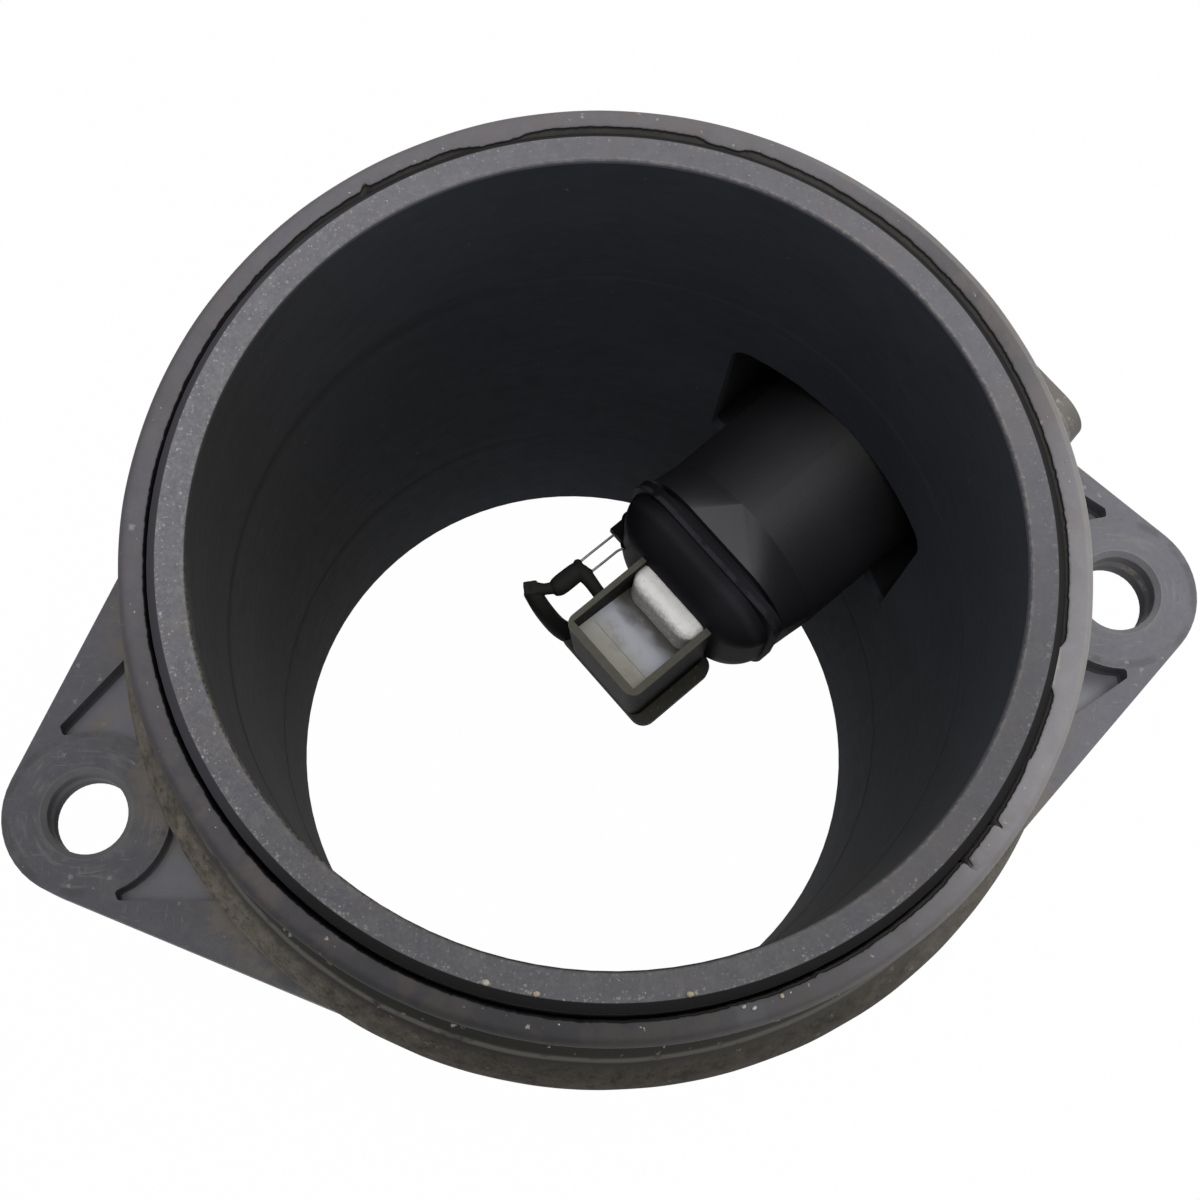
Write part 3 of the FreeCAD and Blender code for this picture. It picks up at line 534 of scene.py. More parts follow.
        # Painted shade: the bevel beside the seal's gap is near black, lighter only on the left.
        bevel = lab.rise(reach, 33.2, 0.05)
        left = lab.facing(176.0, 0.72, 0.2)
        dark = lab.paint(tone(14, (1.0, 0.97, 1.05)), tone(64, (1.0, 0.97, 1.06)), left)
        grey.lay(dark, bevel)
        colour.lay(grey, face)

    def bore_wall(self, lab: ShaderLab, colour: Paint, inside: Signal) -> None:
        """Dark bore with faint lines around it and a few pale specks, painted light on its far and
        lower-left walls and painted shade at its steps.

        Args:
            lab: The material's lab.
            colour: The colour so far.
            inside: Mask of the bore.
        """
        rings = lab.cloud(1.0, 3.0, 0.6, lab.ringwise(0.7, 0.0, 0.5))
        fine = lab.cloud(1.0, 3.0, 0.7, lab.ringwise(9.0, 0.0, 1.2))
        cloud = lab.cloud(0.12, 3.0)
        # Painted light: lighter and bluer towards 50 degrees, and lighter on the lower-left wall and
        # towards 42 degrees.
        right = lab.facing(50.0, 0.0, 0.8)
        dark = lab.paint(tone(self.bore - 4), tone(self.bore + 4), rings)
        dark.lay(tone(self.bore + 4, (0.95, 1.0, 1.14)), right * 0.9)
        dark.dim(fine * 0.4 + 0.8)
        dark.dim(cloud * 0.4 + 0.8)
        lit = lab.facing(226.0, 0.72, 0.26) * (1.0 - lab.above(52.0, 30.0))
        dark.dim(lit * 1.2 + 1.0)
        dark.dim(lab.facing(42.0, 0.0, 0.5) * 1.1 + 1.0)
        # Painted shade: soft dark bands at the bore's steps at 58.2 and 20.3 mm, on the left.
        left = lab.facing(185.0, 0.3, 0.4)
        for height, share in ((58.2, 0.42), (20.3, 0.2)):
            dark.dim(1.0 - lab.band(lab.z, height - 1.2, height + 0.5, 1.0) * left * share)
        dust = lab.blots((1.4, 4.0, 0.75), 0.66, 0.04)
        dark.lay(tone(44, (1.0, 0.98, 0.94)), dust * 0.25)
        fringe = lab.above(SPIGOT_TOP - 1.6, 1.2) * lab.facing(-142.0, 0.86, 0.08)
        dark.lay(tone(84, (1.0, 0.97, 0.86)), fringe * lab.blots((2.4, 4.0, 0.8), 0.5, 0.08))
        dark.lay(tone(120), lab.specks(0.5, 0.07, 0.25) * 0.5)
        colour.lay(dark, inside)


@dataclass(frozen=True)
class PortRubber:
    """Dusty rubber of the port seal, streaked brown below its rib."""

    name: str = "port_rubber_worn"
    lip: float = 92.0
    side: float = 40.0

    def make(self) -> Material:
        """Build the material."""
        lab = ShaderLab(self.name)
        reach = lab.radius()
        streak = lab.cloud(1.0, 5.0, 0.7, lab.ringwise(9.0, 0.0, 1.6))
        patch = lab.cloud(0.7, 5.0, 0.75)
        lit = lab.facing(30.0, 0.0, 0.9)
        side = lab.paint(tone(self.side - 10), tone(self.side + 18, (1.0, 0.98, 0.95)), streak)
        # Painted light on the side facing 30 degrees; painted shade towards the bottom and painted
        # light towards the left.
        side.lay(tone(118, (1.0, 0.97, 0.92)), lit * 0.7)
        side.dim(1.0 - lab.facing(-85.0, 0.75, 0.2) * 0.24 + lab.facing(175.0, 0.6, 0.3) * 0.9)
        colour = lab.paint(side, self.lip_face(lab, patch, lit), lab.above(76.75, 0.3))
        # Painted shade: the lip's inner slope over the gap to the spigot is near black.
        slope = (1.0 - lab.rise(reach, 34.9, 0.1)) * (1.0 - lab.above(77.32, 0.04))
        colour.lay(tone(12), slope)
        # Painted highlight on the lip's outer flank where it faces the light.
        flank = lab.band(lab.z, 75.6, 77.1, 0.2) * lit
        colour.lay(tone(146, (1.0, 0.985, 0.95)), flank * (patch * 0.6 + 0.4))
        brown = lab.paint(tone(66, (1.0, 0.935, 0.85)), tone(124, (1.0, 0.945, 0.87)),
                          lab.rise(patch, 0.48, 0.26))
        brown.lay(tone(132, (1.0, 0.95, 0.86)), lab.specks(1.6, 0.5, 0.25) * 0.5)
        brown.lay(tone(40, (1.0, 0.9, 0.8)), lab.blots((1.1, 4.0, 0.8), 0.6, 0.05) * 0.6)
        # Painted shade: the brown band is darker towards the bottom, and laid thinner on the lit side
        # as painted light.
        brown.dim(1.0 - lab.facing(-85.0, 0.78, 0.2) * 0.58)
        colour.lay(brown, (1.0 - lab.above(64.4, 0.7)) * (1.0 - lit * 0.5))
        line = lab.band(lab.z, 65.0, 65.5, 0.15) * lab.blots((0.5, 3.0), 0.38, 0.1)
        colour.lay(tone(112, (1.0, 0.97, 0.91)), line * 0.75)
        grit = lab.specks(2.1, 0.4, 0.12) * lab.band(lab.z, 65.5, 76.4, 0.6)
        grit = grit * lab.band(reach, 34.6, 36.6, 0.3)
        colour.lay(tone(178, (1.0, 0.98, 0.94)), grit * 0.75)
        tan = lab.specks(1.1, 0.32, 0.12) * (1.0 - lab.above(75.0, 2.0))
        colour.lay(tone(124, (1.0, 0.9, 0.74)), tan * 0.6)
        lab.bump(patch, 0.1, 0.45)
        lab.bump(grit, 0.05, 0.6)
        return lab.coat(colour, streak * 0.2 + 0.62, 0.16)

    def lip_face(self, lab: ShaderLab, patch: Signal, lit: Signal) -> Paint:
        """Smooth grey top of the lip, browner at its lower part, paler where it tore, with painted
        shade towards the bottom and painted light on the lit side, the lower right and the right outer
        edge.

        Args:
            lab: The material's lab.
            patch: Mottling.
            lit: Mask of the side that faces the light.

        Returns:
            The colour of the lip.
        """
        soft = lab.cloud(0.3, 3.0)
        lip = lab.paint(tone(self.lip - 12, (1.0, 0.975, 1.03)), tone(self.lip + 12, (1.0, 0.98, 1.02)),
                        patch)
        # Painted shade towards the bottom and painted light towards the top and the lit side.
        low = lab.facing(-100.0, 0.45, 0.4)
        lip.dim(1.0 - low * 0.52 + lab.facing(95.0, 0.7, 0.2) * 0.16)
        lip.lay(tone(104, (1.0, 0.99, 0.98)), lit * 0.35)
        # Painted light towards -30 degrees, the lower right; the lip is also darker towards 15 degrees.
        lower_right_light = lab.facing(-30.0, 0.7, 0.25)
        lip.dim(lower_right_light * 0.95 + 1.0 - lab.facing(15.0, 0.8, 0.15) * 0.29)
        rosy = lab.rise(soft, 0.55, 0.06)
        lip.lay(tone(100, (1.04, 0.95, 0.94)), rosy * (lab.facing(80.0, 0.3, 0.4) * 0.35 + 0.1))
        brown = low * lab.blots((0.5, 4.0), 0.55, 0.08)
        lip.lay(tone(92, (1.04, 0.95, 0.88)), brown * 0.3)
        patchy = lab.facing(-74.0, 0.9996, 0.0002)
        lip.lay(tone(100, (1.0, 1.0, 1.04)), patchy * 0.5)
        # Painted shade: darker again towards the bottom.
        lip.dim(1.0 - lab.facing(-86.0, 0.8, 0.2) * 0.4)
        ragged = lab.cloud(2.2, 3.0, 0.7) * 0.7 + lab.radius()
        rim = lab.band(ragged, 33.6, 34.35, 0.12)
        torn = lab.facing(-15.0, 0.9988, 0.0005)
        lip.lay(tone(146, (1.0, 0.985, 0.95)), rim * torn * 0.75)
        torn = lab.facing(74.8, 0.9989, 0.0005) + lab.facing(105.2, 0.9982, 0.0008)
        lip.lay(tone(118, (1.0, 0.95, 0.9)), rim * torn * 0.7)
        blob = lab.facing(178.6, 0.99996, 0.00003) * lab.band(ragged, 35.25, 35.7, 0.12)
        lip.lay(tone(150), blob * 0.8)
        # Painted highlight along the lip's outer edge on the right.
        pale = lab.band(lab.radius(), 35.6, 36.4, 0.08) * lab.facing(20.0, 0.75, 0.12)
        lip.lay(tone(138, (1.0, 0.985, 0.94)), pale * (patch * 0.8 + 0.3) * 0.5)
        crumbs = lab.specks(2.0, 0.3, 0.08)
        lip.lay(tone(168, (1.0, 0.97, 0.9)), crumbs * 0.5)
        return lip


@dataclass(frozen=True)
class MouldedPlastic:
    """Satin moulded plastic with a fine grain and a little dust."""

    name: str
    level: float
    tint: Tint = (1.0, 1.0, 1.02)
    rough: float = 0.42
    gloss: float = 0.5
    dust: float = 0.25
    dust_level: float = 96.0

    def make(self) -> Material:
        """Build the material."""
        lab = ShaderLab(self.name)
        broad = lab.cloud(0.2, 3.0)
        fine = lab.cloud(2.5, 4.0, 0.7)
        colour = lab.paint(tone(self.level * 0.88, self.tint), tone(self.level * 1.12, self.tint),
                           broad)
        colour.dim(fine * 0.3 + 0.85)
        powder = lab.blots((1.1, 5.0, 0.75), 0.62, 0.08)
        colour.lay(tone(self.dust_level, (1.0, 0.97, 0.9)), powder * self.dust)
        colour.lay(tone(150), lab.specks(1.2, 0.2, 0.1) * self.dust)
        lab.bump(lab.cloud(5.0, 2.0), 0.03, 0.4)
        return lab.coat(colour, fine * 0.16 + self.rough - 0.08, self.gloss)


@dataclass(frozen=True)
class ProbePlastic:
    """Satin black of the probe, dusty and pale outside the duct, with painted light on a facet of its
    stem and painted shade on its stem and nose.
    """

    name: str = "probe_plastic_satin"
    level: float = 41.0
    facet_light_level: float = 58.0
    flat_base: float = 14.7
    flat_apex: tuple[float, float] = (18.4, 0.9)
    flat_middle: float = -0.4
    flat_half: float = 4.0
    gloss: float = 0.4

    def make(self) -> Material:
        """Build the material."""
        lab = ShaderLab(self.name)
        out = lab.along_probe()
        side = lab.across_probe()
        fine = lab.cloud(2.5, 4.0, 0.7)
        dark = (1.0, 0.98, 1.08)
        colour = lab.paint(tone(self.level * 0.92, dark), tone(self.level * 1.08, dark),
                           lab.cloud(0.2, 3.0))
        nose = 1.0 - lab.rise(out, 14.4, 0.3)
        colour.lay(tone(34, (1.0, 0.98, 1.1)), nose)
        # Painted highlight: a lighter band along the nose, where a ridge would catch the light.
        ridge_highlight = lab.band(out, 11.7, 12.1, 0.5) * lab.above(PROBE_HEIGHT + 4.0, 1.0)
        colour.lay(tone(56, (1.0, 0.99, 1.06)), ridge_highlight * 0.6)
        # Painted shade: the stem is darker towards the duct's wall and on one side.
        colour.dim(1.0 - lab.rise(out, 27.6, 4.0) * 0.6)
        colour.dim(1.0 - lab.rise(side, 5.4, 1.6) * 0.35)
        # Painted shade under the nose, and painted light on its side below -3.5 mm across.
        under = 1.0 - lab.above(PROBE_HEIGHT + 1.5, 2.0)
        colour.dim(1.0 - nose * under * 0.55 + nose * (1.0 - lab.rise(side, -3.5, 1.5)) * 0.35)
        strip = lab.band(out, 12.95, 13.4, 0.1) * lab.above(PROBE_HEIGHT + 6.0, 0.4)
        strip = strip * lab.blots((0.7, 3.0), 0.44, 0.1)
        colour.lay(tone(62, (1.0, 0.98, 1.06)), strip * 0.6)
        # Painted light: a lighter triangle on the flat of the stem, as if it caught the light.
        ahead = (self.flat_apex[0] - out) / (self.flat_apex[0] - self.flat_base)
        middle = self.flat_apex[1] + ahead * (self.flat_middle - self.flat_apex[1])
        spread = ahead * self.flat_half - lab.maths("ABSOLUTE", side - middle)
        flat = lab.rise(spread, -0.1, 0.4) * lab.above(PROBE_HEIGHT + 8.6, 0.1)
        flat = flat * lab.rise(out, self.flat_base, 0.1)
        colour.lay(tone(self.facet_light_level, (1.0, 0.96, 1.06)), flat)
        outside = lab.rise(out, 38.6, 0.6)
        powder = lab.cloud(0.8, 5.0, 0.75)
        dusty = lab.paint(tone(96, (1.0, 0.98, 0.96)), tone(136, (1.0, 0.96, 0.89)),
                          lab.rise(powder, 0.52, 0.24))
        colour.lay(dusty, outside)
        colour.dim(fine * 0.24 + 0.88)
        lab.bump(lab.cloud(5.0, 2.0), 0.03, 0.4)
        return lab.coat(colour, fine * 0.14 + 0.46, self.gloss)


@dataclass(frozen=True)
class ChannelPlastic:
    """Olive grey plastic of the channel frame, paler on its rim."""

    name: str = "channel_plastic_dusty"
    level: float = 48.0
    rim: float = 97.0

    def make(self) -> Material:
        """Build the material."""
        lab = ShaderLab(self.name)
        fine = lab.cloud(2.2, 4.0, 0.7)
        olive = (1.0, 0.985, 0.9)
        colour = lab.paint(tone(self.level - 10, olive), tone(self.level + 12, olive), fine)
        foot = 1.0 - lab.above(PROBE_HEIGHT - 6.2, 0.2)
        wall = lab.band(lab.z, PROBE_HEIGHT - 5.0, PROBE_HEIGHT + 3.0, 1.5)
        colour.dim(1.0 + foot * 0.7 - wall * 0.3)
        top = lab.above(PROBE_HEIGHT + 4.8, 0.12)
        colour.lay(tone(self.rim, olive), top * (fine * 0.5 + 0.5))
        colour.lay(tone(150, (1.0, 0.98, 0.92)), lab.specks(3.0, 0.3, 0.12) * 0.5)
        lab.bump(fine, 0.05, 0.5)
        return lab.coat(colour, fine * 0.2 + 0.5, 0.04)


@dataclass(frozen=True)
class CuredGel:
    """White speckled compound at the plate's root."""

    name: str = "cured_gel"

    def make(self) -> Material:
        """Build the material."""
        lab = ShaderLab(self.name)
        patch = lab.cloud(1.2, 5.0, 0.8)
        colour = lab.paint(tone(238, (1.0, 0.99, 0.98)), tone(252, (1.0, 0.995, 0.99)), patch)
        reach = lab.along_probe()
        front = 1.0 - lab.rise(reach + patch, 7.9, 0.4)
        colour.lay(tone(158, (1.0, 0.9, 0.84)), lab.blots((3.0, 4.0, 0.8), 0.5, 0.1) * front * 0.55)
        colour.lay(tone(204, (1.0, 0.96, 0.93)), lab.blots((2.6, 4.0, 0.8), 0.62, 0.06) * 0.35)
        lab.bump(lab.cloud(1.8, 4.0, 0.7), 0.22, 0.8)
        return lab.coat(colour, 0.4, 0.5)


@dataclass(frozen=True)
class GlazedPlate:
    """Pale glazed plate, bluish in its middle and warm towards the tip, with painted shade towards the
    pad.
    """

    name: str = "glazed_plate"

    def make(self) -> Material:
        """Build the material."""
        lab = ShaderLab(self.name)
        reach = lab.along_probe()
        soft = lab.cloud(0.5, 3.0) * 2.0
        tipward = 1.0 - lab.rise(reach + soft, 4.2, 1.4)
        colour = lab.paint(tone(178, (0.98, 0.995, 1.04)), tone(154, (1.0, 0.985, 0.91)), tipward)
        # Painted shade: the plate is darker towards the nose, beside the pad.
        shade_by_pad = lab.rise(reach + soft, 6.9, 0.9)
        colour.lay(tone(84, (1.0, 0.98, 0.92)), shade_by_pad)
        colour.lay(tone(118, (1.0, 0.95, 0.86)), lab.blots((0.6, 3.0, 0.6), 0.6, 0.1) * 0.3)
        return lab.coat(colour, lab.cloud(1.5, 3.0) * 0.2 + 0.5, 0.3)


@dataclass(frozen=True)
class PlainMetal:
    """Drawn, stamped or plated metal with fine streaks."""

    name: str
    level: float
    tint: Tint = (1.0, 1.0, 1.0)
    rough: float = 0.32

    def make(self) -> Material:
        """Build the material."""
        lab = ShaderLab(self.name)
        streak = lab.cloud(1.0, 4.0, 0.7, lab.stretched(4.0, 4.0, 0.6))
        colour = lab.paint(tone(self.level * 0.86, self.tint), tone(self.level * 1.08, self.tint),
                           streak)
        lab.bump(streak, 0.03, 0.4)
        return lab.coat(colour, streak * 0.25 + self.rough - 0.12, 0.5, 0.9)


@dataclass(frozen=True)
class BoardLaminate:
    """Green board with a faint weave."""

    name: str = "board_laminate_green"

    def make(self) -> Material:
        """Build the material."""
        lab = ShaderLab(self.name)
        weave = lab.cloud(1.0, 2.0, 0.5, lab.stretched(3.0, 3.0, 3.0))
        colour = lab.paint(tone(62, (0.35, 1.0, 0.55)), tone(84, (0.35, 1.0, 0.55)), weave)
        return lab.coat(colour, 0.4, 0.5)


@dataclass(frozen=True)
class GritDust:
    """Tan and grey crumbs."""

    name: str = "grit_dust"

    def make(self) -> Material:
        """Build the material."""
        lab = ShaderLab(self.name)
        kind = lab.cloud(0.35, 2.0)
        colour = lab.paint(tone(150, (1.0, 0.93, 0.8)), tone(162, (1.0, 0.98, 0.95)),
                           lab.rise(kind, 0.5, 0.05))
        lab.bump(lab.cloud(6.0, 3.0), 0.08, 0.7)
        return lab.coat(colour, 0.8, 0.2)


class Slot(Enum):
    """Names of finish slots; no piece in this script is given one."""

    PORT = "port_rubber"
    BEAD = "bead_plastic"
    LEAD = "lead_metal"
    PAD = "pad_compound"
    PROBE = "probe_plastic"


class Workshop:
    """Turns meshes into finished pieces of the part."""

    def __init__(self) -> None:
        """Start with no pieces."""
        self.pieces: list[Object] = []

    def piece(self, name: str, mesh: Mesh, material: Material,
              replaced: Iterable[str] = ()) -> Object:
        """Add a finished piece that rides on the part.

        Args:
            name: Name of the piece.
            mesh: Its mesh, in place.
            material: Its finish.
            replaced: CAD nodes that it stands for.

        Returns:
            The new object.
        """
        made = bpy.data.objects.new(name, mesh)
        bpy.context.scene.collection.objects.link(made)
        mesh.materials.clear()
        mesh.materials.append(material)
        for face in mesh.polygons:
            face.use_smooth = True
        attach(made, "root")
        for node in replaced:
            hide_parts(node)
        self.pieces.append(made)
        LOG.info("piece %s: %d faces", name, len(mesh.polygons))
        return made

    @staticmethod
    def to_mesh(shape: BMesh, name: str) -> Mesh:
        """Close a bmesh into a mesh, its normals pointing outwards."""
        bmesh.ops.recalc_face_normals(shape, faces=shape.faces)
        mesh = bpy.data.meshes.new(name)
        shape.to_mesh(mesh)
        shape.free()
        return mesh

    @staticmethod
    def tube(path: Sequence[Vector], radii: Sequence[float], name: str, sides: int = 12) -> Mesh:
        """Make a round tube along a smooth path.

        Args:
            path: Points in metres.
            radii: Radius at each point in mm.
            name: Name of the mesh.
            sides: Steps in a quarter turn of the section.

        Returns:
            The tube's mesh with closed ends.
        """
        curve = bpy.data.curves.new(name, "CURVE")
        curve.dimensions = "3D"
        curve.bevel_depth = MM
        curve.bevel_resolution = sides
        curve.use_fill_caps = True
        curve.resolution_u = 12
        spline = curve.splines.new("NURBS")
        spline.points.add(len(path) - 1)
        for point, spot, radius in zip(spline.points, path, radii):
            point.co = (*spot, 1.0)
            point.radius = radius
        spline.order_u = 3
        spline.use_endpoint_u = True
        holder = bpy.data.objects.new(name, curve)
        mesh = bpy.data.meshes.new_from_object(holder)
        bpy.data.objects.remove(holder)
        return mesh

    @staticmethod
    def ball(place: Vector, radius: float, name: str) -> Mesh:
        """Make a ball of a radius in mm at a place in metres."""
        shape = bmesh.new()
        bmesh.ops.create_icosphere(shape, subdivisions=3, radius=radius * MM,
                                   matrix=Matrix.Translation(place))
        return Workshop.to_mesh(shape, name)

    @staticmethod
    def melted(parts: Sequence[Mesh], voxel: float, smooth: int, name: str) -> Mesh:
        """Melt closed meshes into one soft skin.

        Args:
            parts: Closed meshes that overlap.
            voxel: Grid size in mm.
            smooth: Rounds of smoothing.
            name: Name of the mesh.

        Returns:
            The joined mesh.
        """
        joined = bmesh.new()
        for part in parts:
            joined.from_mesh(part)
        mesh = bpy.data.meshes.new(name)
        joined.to_mesh(mesh)
        joined.free()
        holder = bpy.data.objects.new(name, mesh)
        bpy.context.scene.collection.objects.link(holder)
        remesh = holder.modifiers.new("skin", "REMESH")
        remesh.mode = "VOXEL"
        remesh.voxel_size = voxel * MM
        relax = holder.modifiers.new("relax", "SMOOTH")
        relax.iterations = smooth
        relax.factor = 0.5
        graph = bpy.context.evaluated_depsgraph_get()
        result = bpy.data.meshes.new_from_object(holder.evaluated_get(graph))
        bpy.data.objects.remove(holder)
        return result


@dataclass
class Flaw:
    """A stretch of the seal's lip that sags inwards or is torn back."""

    azimuth: float
    half: float
    soft: float
    inward: float
    drop: float = 0.0

    def depth(self, azimuth: float) -> float:
        """Share of the flaw at an azimuth, flat in its middle and soft at its ends."""
        away = abs((azimuth - self.azimuth + 180.0) % 360.0 - 180.0)
        share = clamped((self.half + self.soft - away) / self.soft)
        return share * share * (3.0 - 2.0 * share)


@dataclass
class PortSeal:
    """Rubber sleeve on the spigot, with a worn, uneven lip."""

    steps: int = 900
    outline: Table = (
        (SEAL_BORE, 57.42), (37.3, 57.42), (38.3, 59.0), (SEAL_BULGE, 60.0), (SEAL_BULGE, 61.8),
        (38.2, 62.8), (37.1, 64.3), (36.6, 65.2), (36.3, 65.7), (35.2, 66.8), (35.2, 73.8),
        (36.1, 75.2), (36.14, 76.5), (36.0, 77.0), (35.72, 77.3), (35.4, SEAL_TOP),
        (34.4, SEAL_TOP), (34.25, 77.1), (SEAL_BORE, 74.0))
    flaws: tuple[Flaw, ...] = (
        Flaw(74.8, 1.6, 2.0, 0.36), Flaw(105.2, 1.4, 4.4, 0.45), Flaw(-15.1, 1.6, 2.4, 0.62),
        Flaw(-44.3, 1.4, 0.3, 0.1), Flaw(-42.5, 0.12, 0.2, -0.45, 0.4),
        Flaw(-36.4, 0.15, 0.3, -0.3, 0.2), Flaw(123.5, 0.3, 0.4, -0.2, 0.1),
        Flaw(-75.0, 1.0, 0.3, 0.06), Flaw(-65.0, 0.1, 0.2, 0.15), Flaw(-28.0, 0.4, 0.6, 0.12))
    oval: float = 0.15
    oval_azimuth: float = 82.0
    lean: float = 0.06
    lean_azimuth: float = 60.0
    lip_low: float = 74.0
    lip_height: float = 2.6
    lip_middle: float = 35.3
    inner_width: float = 0.9
    ripples: Table = ((0.05, 25.0), (0.07, 110.0), (0.04, 300.0))
    corner_round: float = 0.14
    spread: float = 0.22
    spread_azimuth: float = 50.0
    free_above: float = 76.5
    wave: float = 0.04
    wave_fineness: float = 6.0
    dented_below: float = 73.0
    dented_beyond: float = 34.5
    dent: float = 0.06

    def shape(self) -> Mesh:
        """Spin the outline, round its corners and wear the lip."""
        ring = bmesh.new()
        corners = [ring.verts.new((r * MM, 0.0, z * MM)) for r, z in self.outline]
        edges = [ring.edges.new((a, b)) for a, b in zip(corners, corners[1:] + corners[:1])]
        bmesh.ops.spin(ring, geom=corners + edges, cent=(0, 0, 0), axis=(0, 0, 1), dvec=(0, 0, 0),
                       angle=2 * math.pi, steps=self.steps, use_merge=True)
        bmesh.ops.remove_doubles(ring, verts=ring.verts, dist=1e-6)
        bmesh.ops.recalc_face_normals(ring, faces=ring.faces)
        hoops = [edge for edge in ring.edges if self.is_hoop(edge)]
        bmesh.ops.bevel(ring, geom=hoops, offset=self.corner_round * MM, offset_type="OFFSET",
                        segments=2, profile=0.5, affect="EDGES", material=-1, clamp_overlap=True)
        for vertex in ring.verts:
            vertex.co = self.worn(vertex.co)
        return Workshop.to_mesh(ring, "port_seal_worn")

    @staticmethod
    def is_hoop(edge: BMEdge) -> bool:
        """Tell whether an edge runs around the ring at a corner of the outline."""
        a, b = (vertex.co for vertex in edge.verts)
        level = abs(a.z - b.z) < 1e-6 and abs(a.xy.length - b.xy.length) < 1e-6
        return level and edge.is_manifold and edge.calc_face_angle(0.0) > math.radians(12)

    def worn(self, spot: Vector) -> Vector:
        """Move a point of the new seal to its worn place.

        Args:
            spot: The point in metres.

        Returns:
            The moved point.
        """
        radius = spot.xy.length / MM
        height = spot.z / MM
        azimuth = math.degrees(math.atan2(spot.y, spot.x))
        around = Vector((spot.x, spot.y, 0.0)).normalized()
        on_lip = clamped((height - self.lip_low) / self.lip_height)
        shift = self.wave * on_lip * noise.noise(around * self.wave_fineness)
        drop = 0.0
        edge = on_lip * clamped((self.lip_middle - radius) / self.inner_width)
        if edge > 0.0:
            shift += edge * self.oval * math.cos(2.0 * math.radians(azimuth - self.oval_azimuth))
            shift += edge * self.lean * math.cos(math.radians(azimuth - self.lean_azimuth))
            ripples = (depth * noise.noise(around * fine) for depth, fine in self.ripples)
            shift -= edge * sum(ripples)
            for flaw in self.flaws:
                depth = edge * flaw.depth(azimuth)
                shift -= flaw.inward * depth
                drop += flaw.drop * depth
        elif on_lip > 0.0 and radius > self.lip_middle:
            facing = math.cos(math.radians(azimuth - self.spread_azimuth))
            shift += on_lip * self.spread * max(0.0, facing)
        elif height < self.dented_below and radius > self.dented_beyond:
            spot = Vector((around.x * 9, around.y * 9, height * 0.4))
            shift += self.dent * noise.noise(spot)
        nearest = SEAL_BORE if height < self.free_above else SPIGOT_FACE
        radius = min(max(radius + shift, nearest), SEAL_BULGE)
        return Vector((around.x * radius, around.y * radius, height - drop)) * MM

    def build(self, shop: Workshop, material: Material) -> None:
        """Add the seal to the part."""
        shop.piece("port_seal_worn", self.shape(), material, ["port_seal"])


@dataclass
class BeadHolder:
    """Curved arm, hook and lug that hold the temperature bead, with the bead."""

    height: float = 40.4
    bead_left: tuple[float, float] = (1.94, 7.56)
    bead_right: tuple[float, float] = (5.2, 7.5)
    elbow: tuple[float, float, float] = (0.52, 9.0, 40.4)
    elbow_size: float = 1.3
    elbow_turn: float = 9.0
    arm: Table = (
        (1.75, 4.9, 33.4, 1.0), (1.3, 5.45, 34.3, 0.96), (0.84, 6.2, 36.2, 0.92),
        (0.46, 7.3, 38.6, 0.9), (0.42, 8.3, 39.9, 0.86), (0.48, 8.9, 40.3, 0.84))
    hook: Table = (
        (0.5, 9.0, 40.4, 0.8), (1.05, 8.55, 40.4, 0.66),
        (1.57, 8.1, 40.4, 0.52), (2.3, 7.7, 40.4, 0.62))
    lug: Table = (
        (4.8, 7.75, 40.4, 0.92), (5.25, 7.2, 40.4, 0.84), (5.3, 6.2, 40.4, 0.68),
        (5.2, 4.9, 40.2, 0.64), (5.15, 3.9, 40.1, 0.64))
    roots: Table = ((5.5, 8.06, 40.4, 0.46), (5.75, 6.72, 40.4, 0.4))
    bead_shares: tuple[float, ...] = (0.0, 0.12, 0.35, 0.6, 0.85, 1.0)
    bead_radii: tuple[float, ...] = (0.6, 0.92, 1.0, 0.98, 0.98, 0.9)

    def limb(self, path: Table, name: str) -> Mesh:
        """Make a tube through points of the probe's directions, each with its radius."""
        places = [along_probe(*spot) for *spot, _ in path]
        return Workshop.tube(places, [radius for *_, radius in path], name)

    def shape(self) -> Mesh:
        """Melt the arm, its angular elbow, the hook and the lug together."""
        elbow = bmesh.new()
        turn = Matrix.Rotation(math.radians(self.elbow_turn), 4, "Z")
        bmesh.ops.create_cube(elbow, size=self.elbow_size * MM,
                              matrix=Matrix.Translation(along_probe(*self.elbow)) @ turn)
        parts = [self.limb(self.arm, "arm"), Workshop.to_mesh(elbow, "elbow"),
                 self.limb(self.hook, "hook"), self.limb(self.lug, "lug")]
        parts += [Workshop.ball(along_probe(*spot), radius, "root") for *spot, radius in self.roots]
        return Workshop.melted(parts, 0.09, 7, "bead_holder")

    def bead(self) -> Mesh:
        """Make the bead, fuller in its middle."""
        left = Vector((*self.bead_left, self.height))
        right = Vector((*self.bead_right, self.height))
        path = [along_probe(*(left + (right - left) * share)) for share in self.bead_shares]
        body = Workshop.tube(path, self.bead_radii, "bead")
        return Workshop.melted([body], 0.12, 3, "temperature_bead_worn")

    def build(self, shop: Workshop, material: Material) -> None:
        """Add the arm and the bead to the part."""
        shop.piece("bead_holder", self.shape(), material, ["bead_guard"])
        shop.piece("temperature_bead_worn", self.bead(), material, ["temperature_bead"])


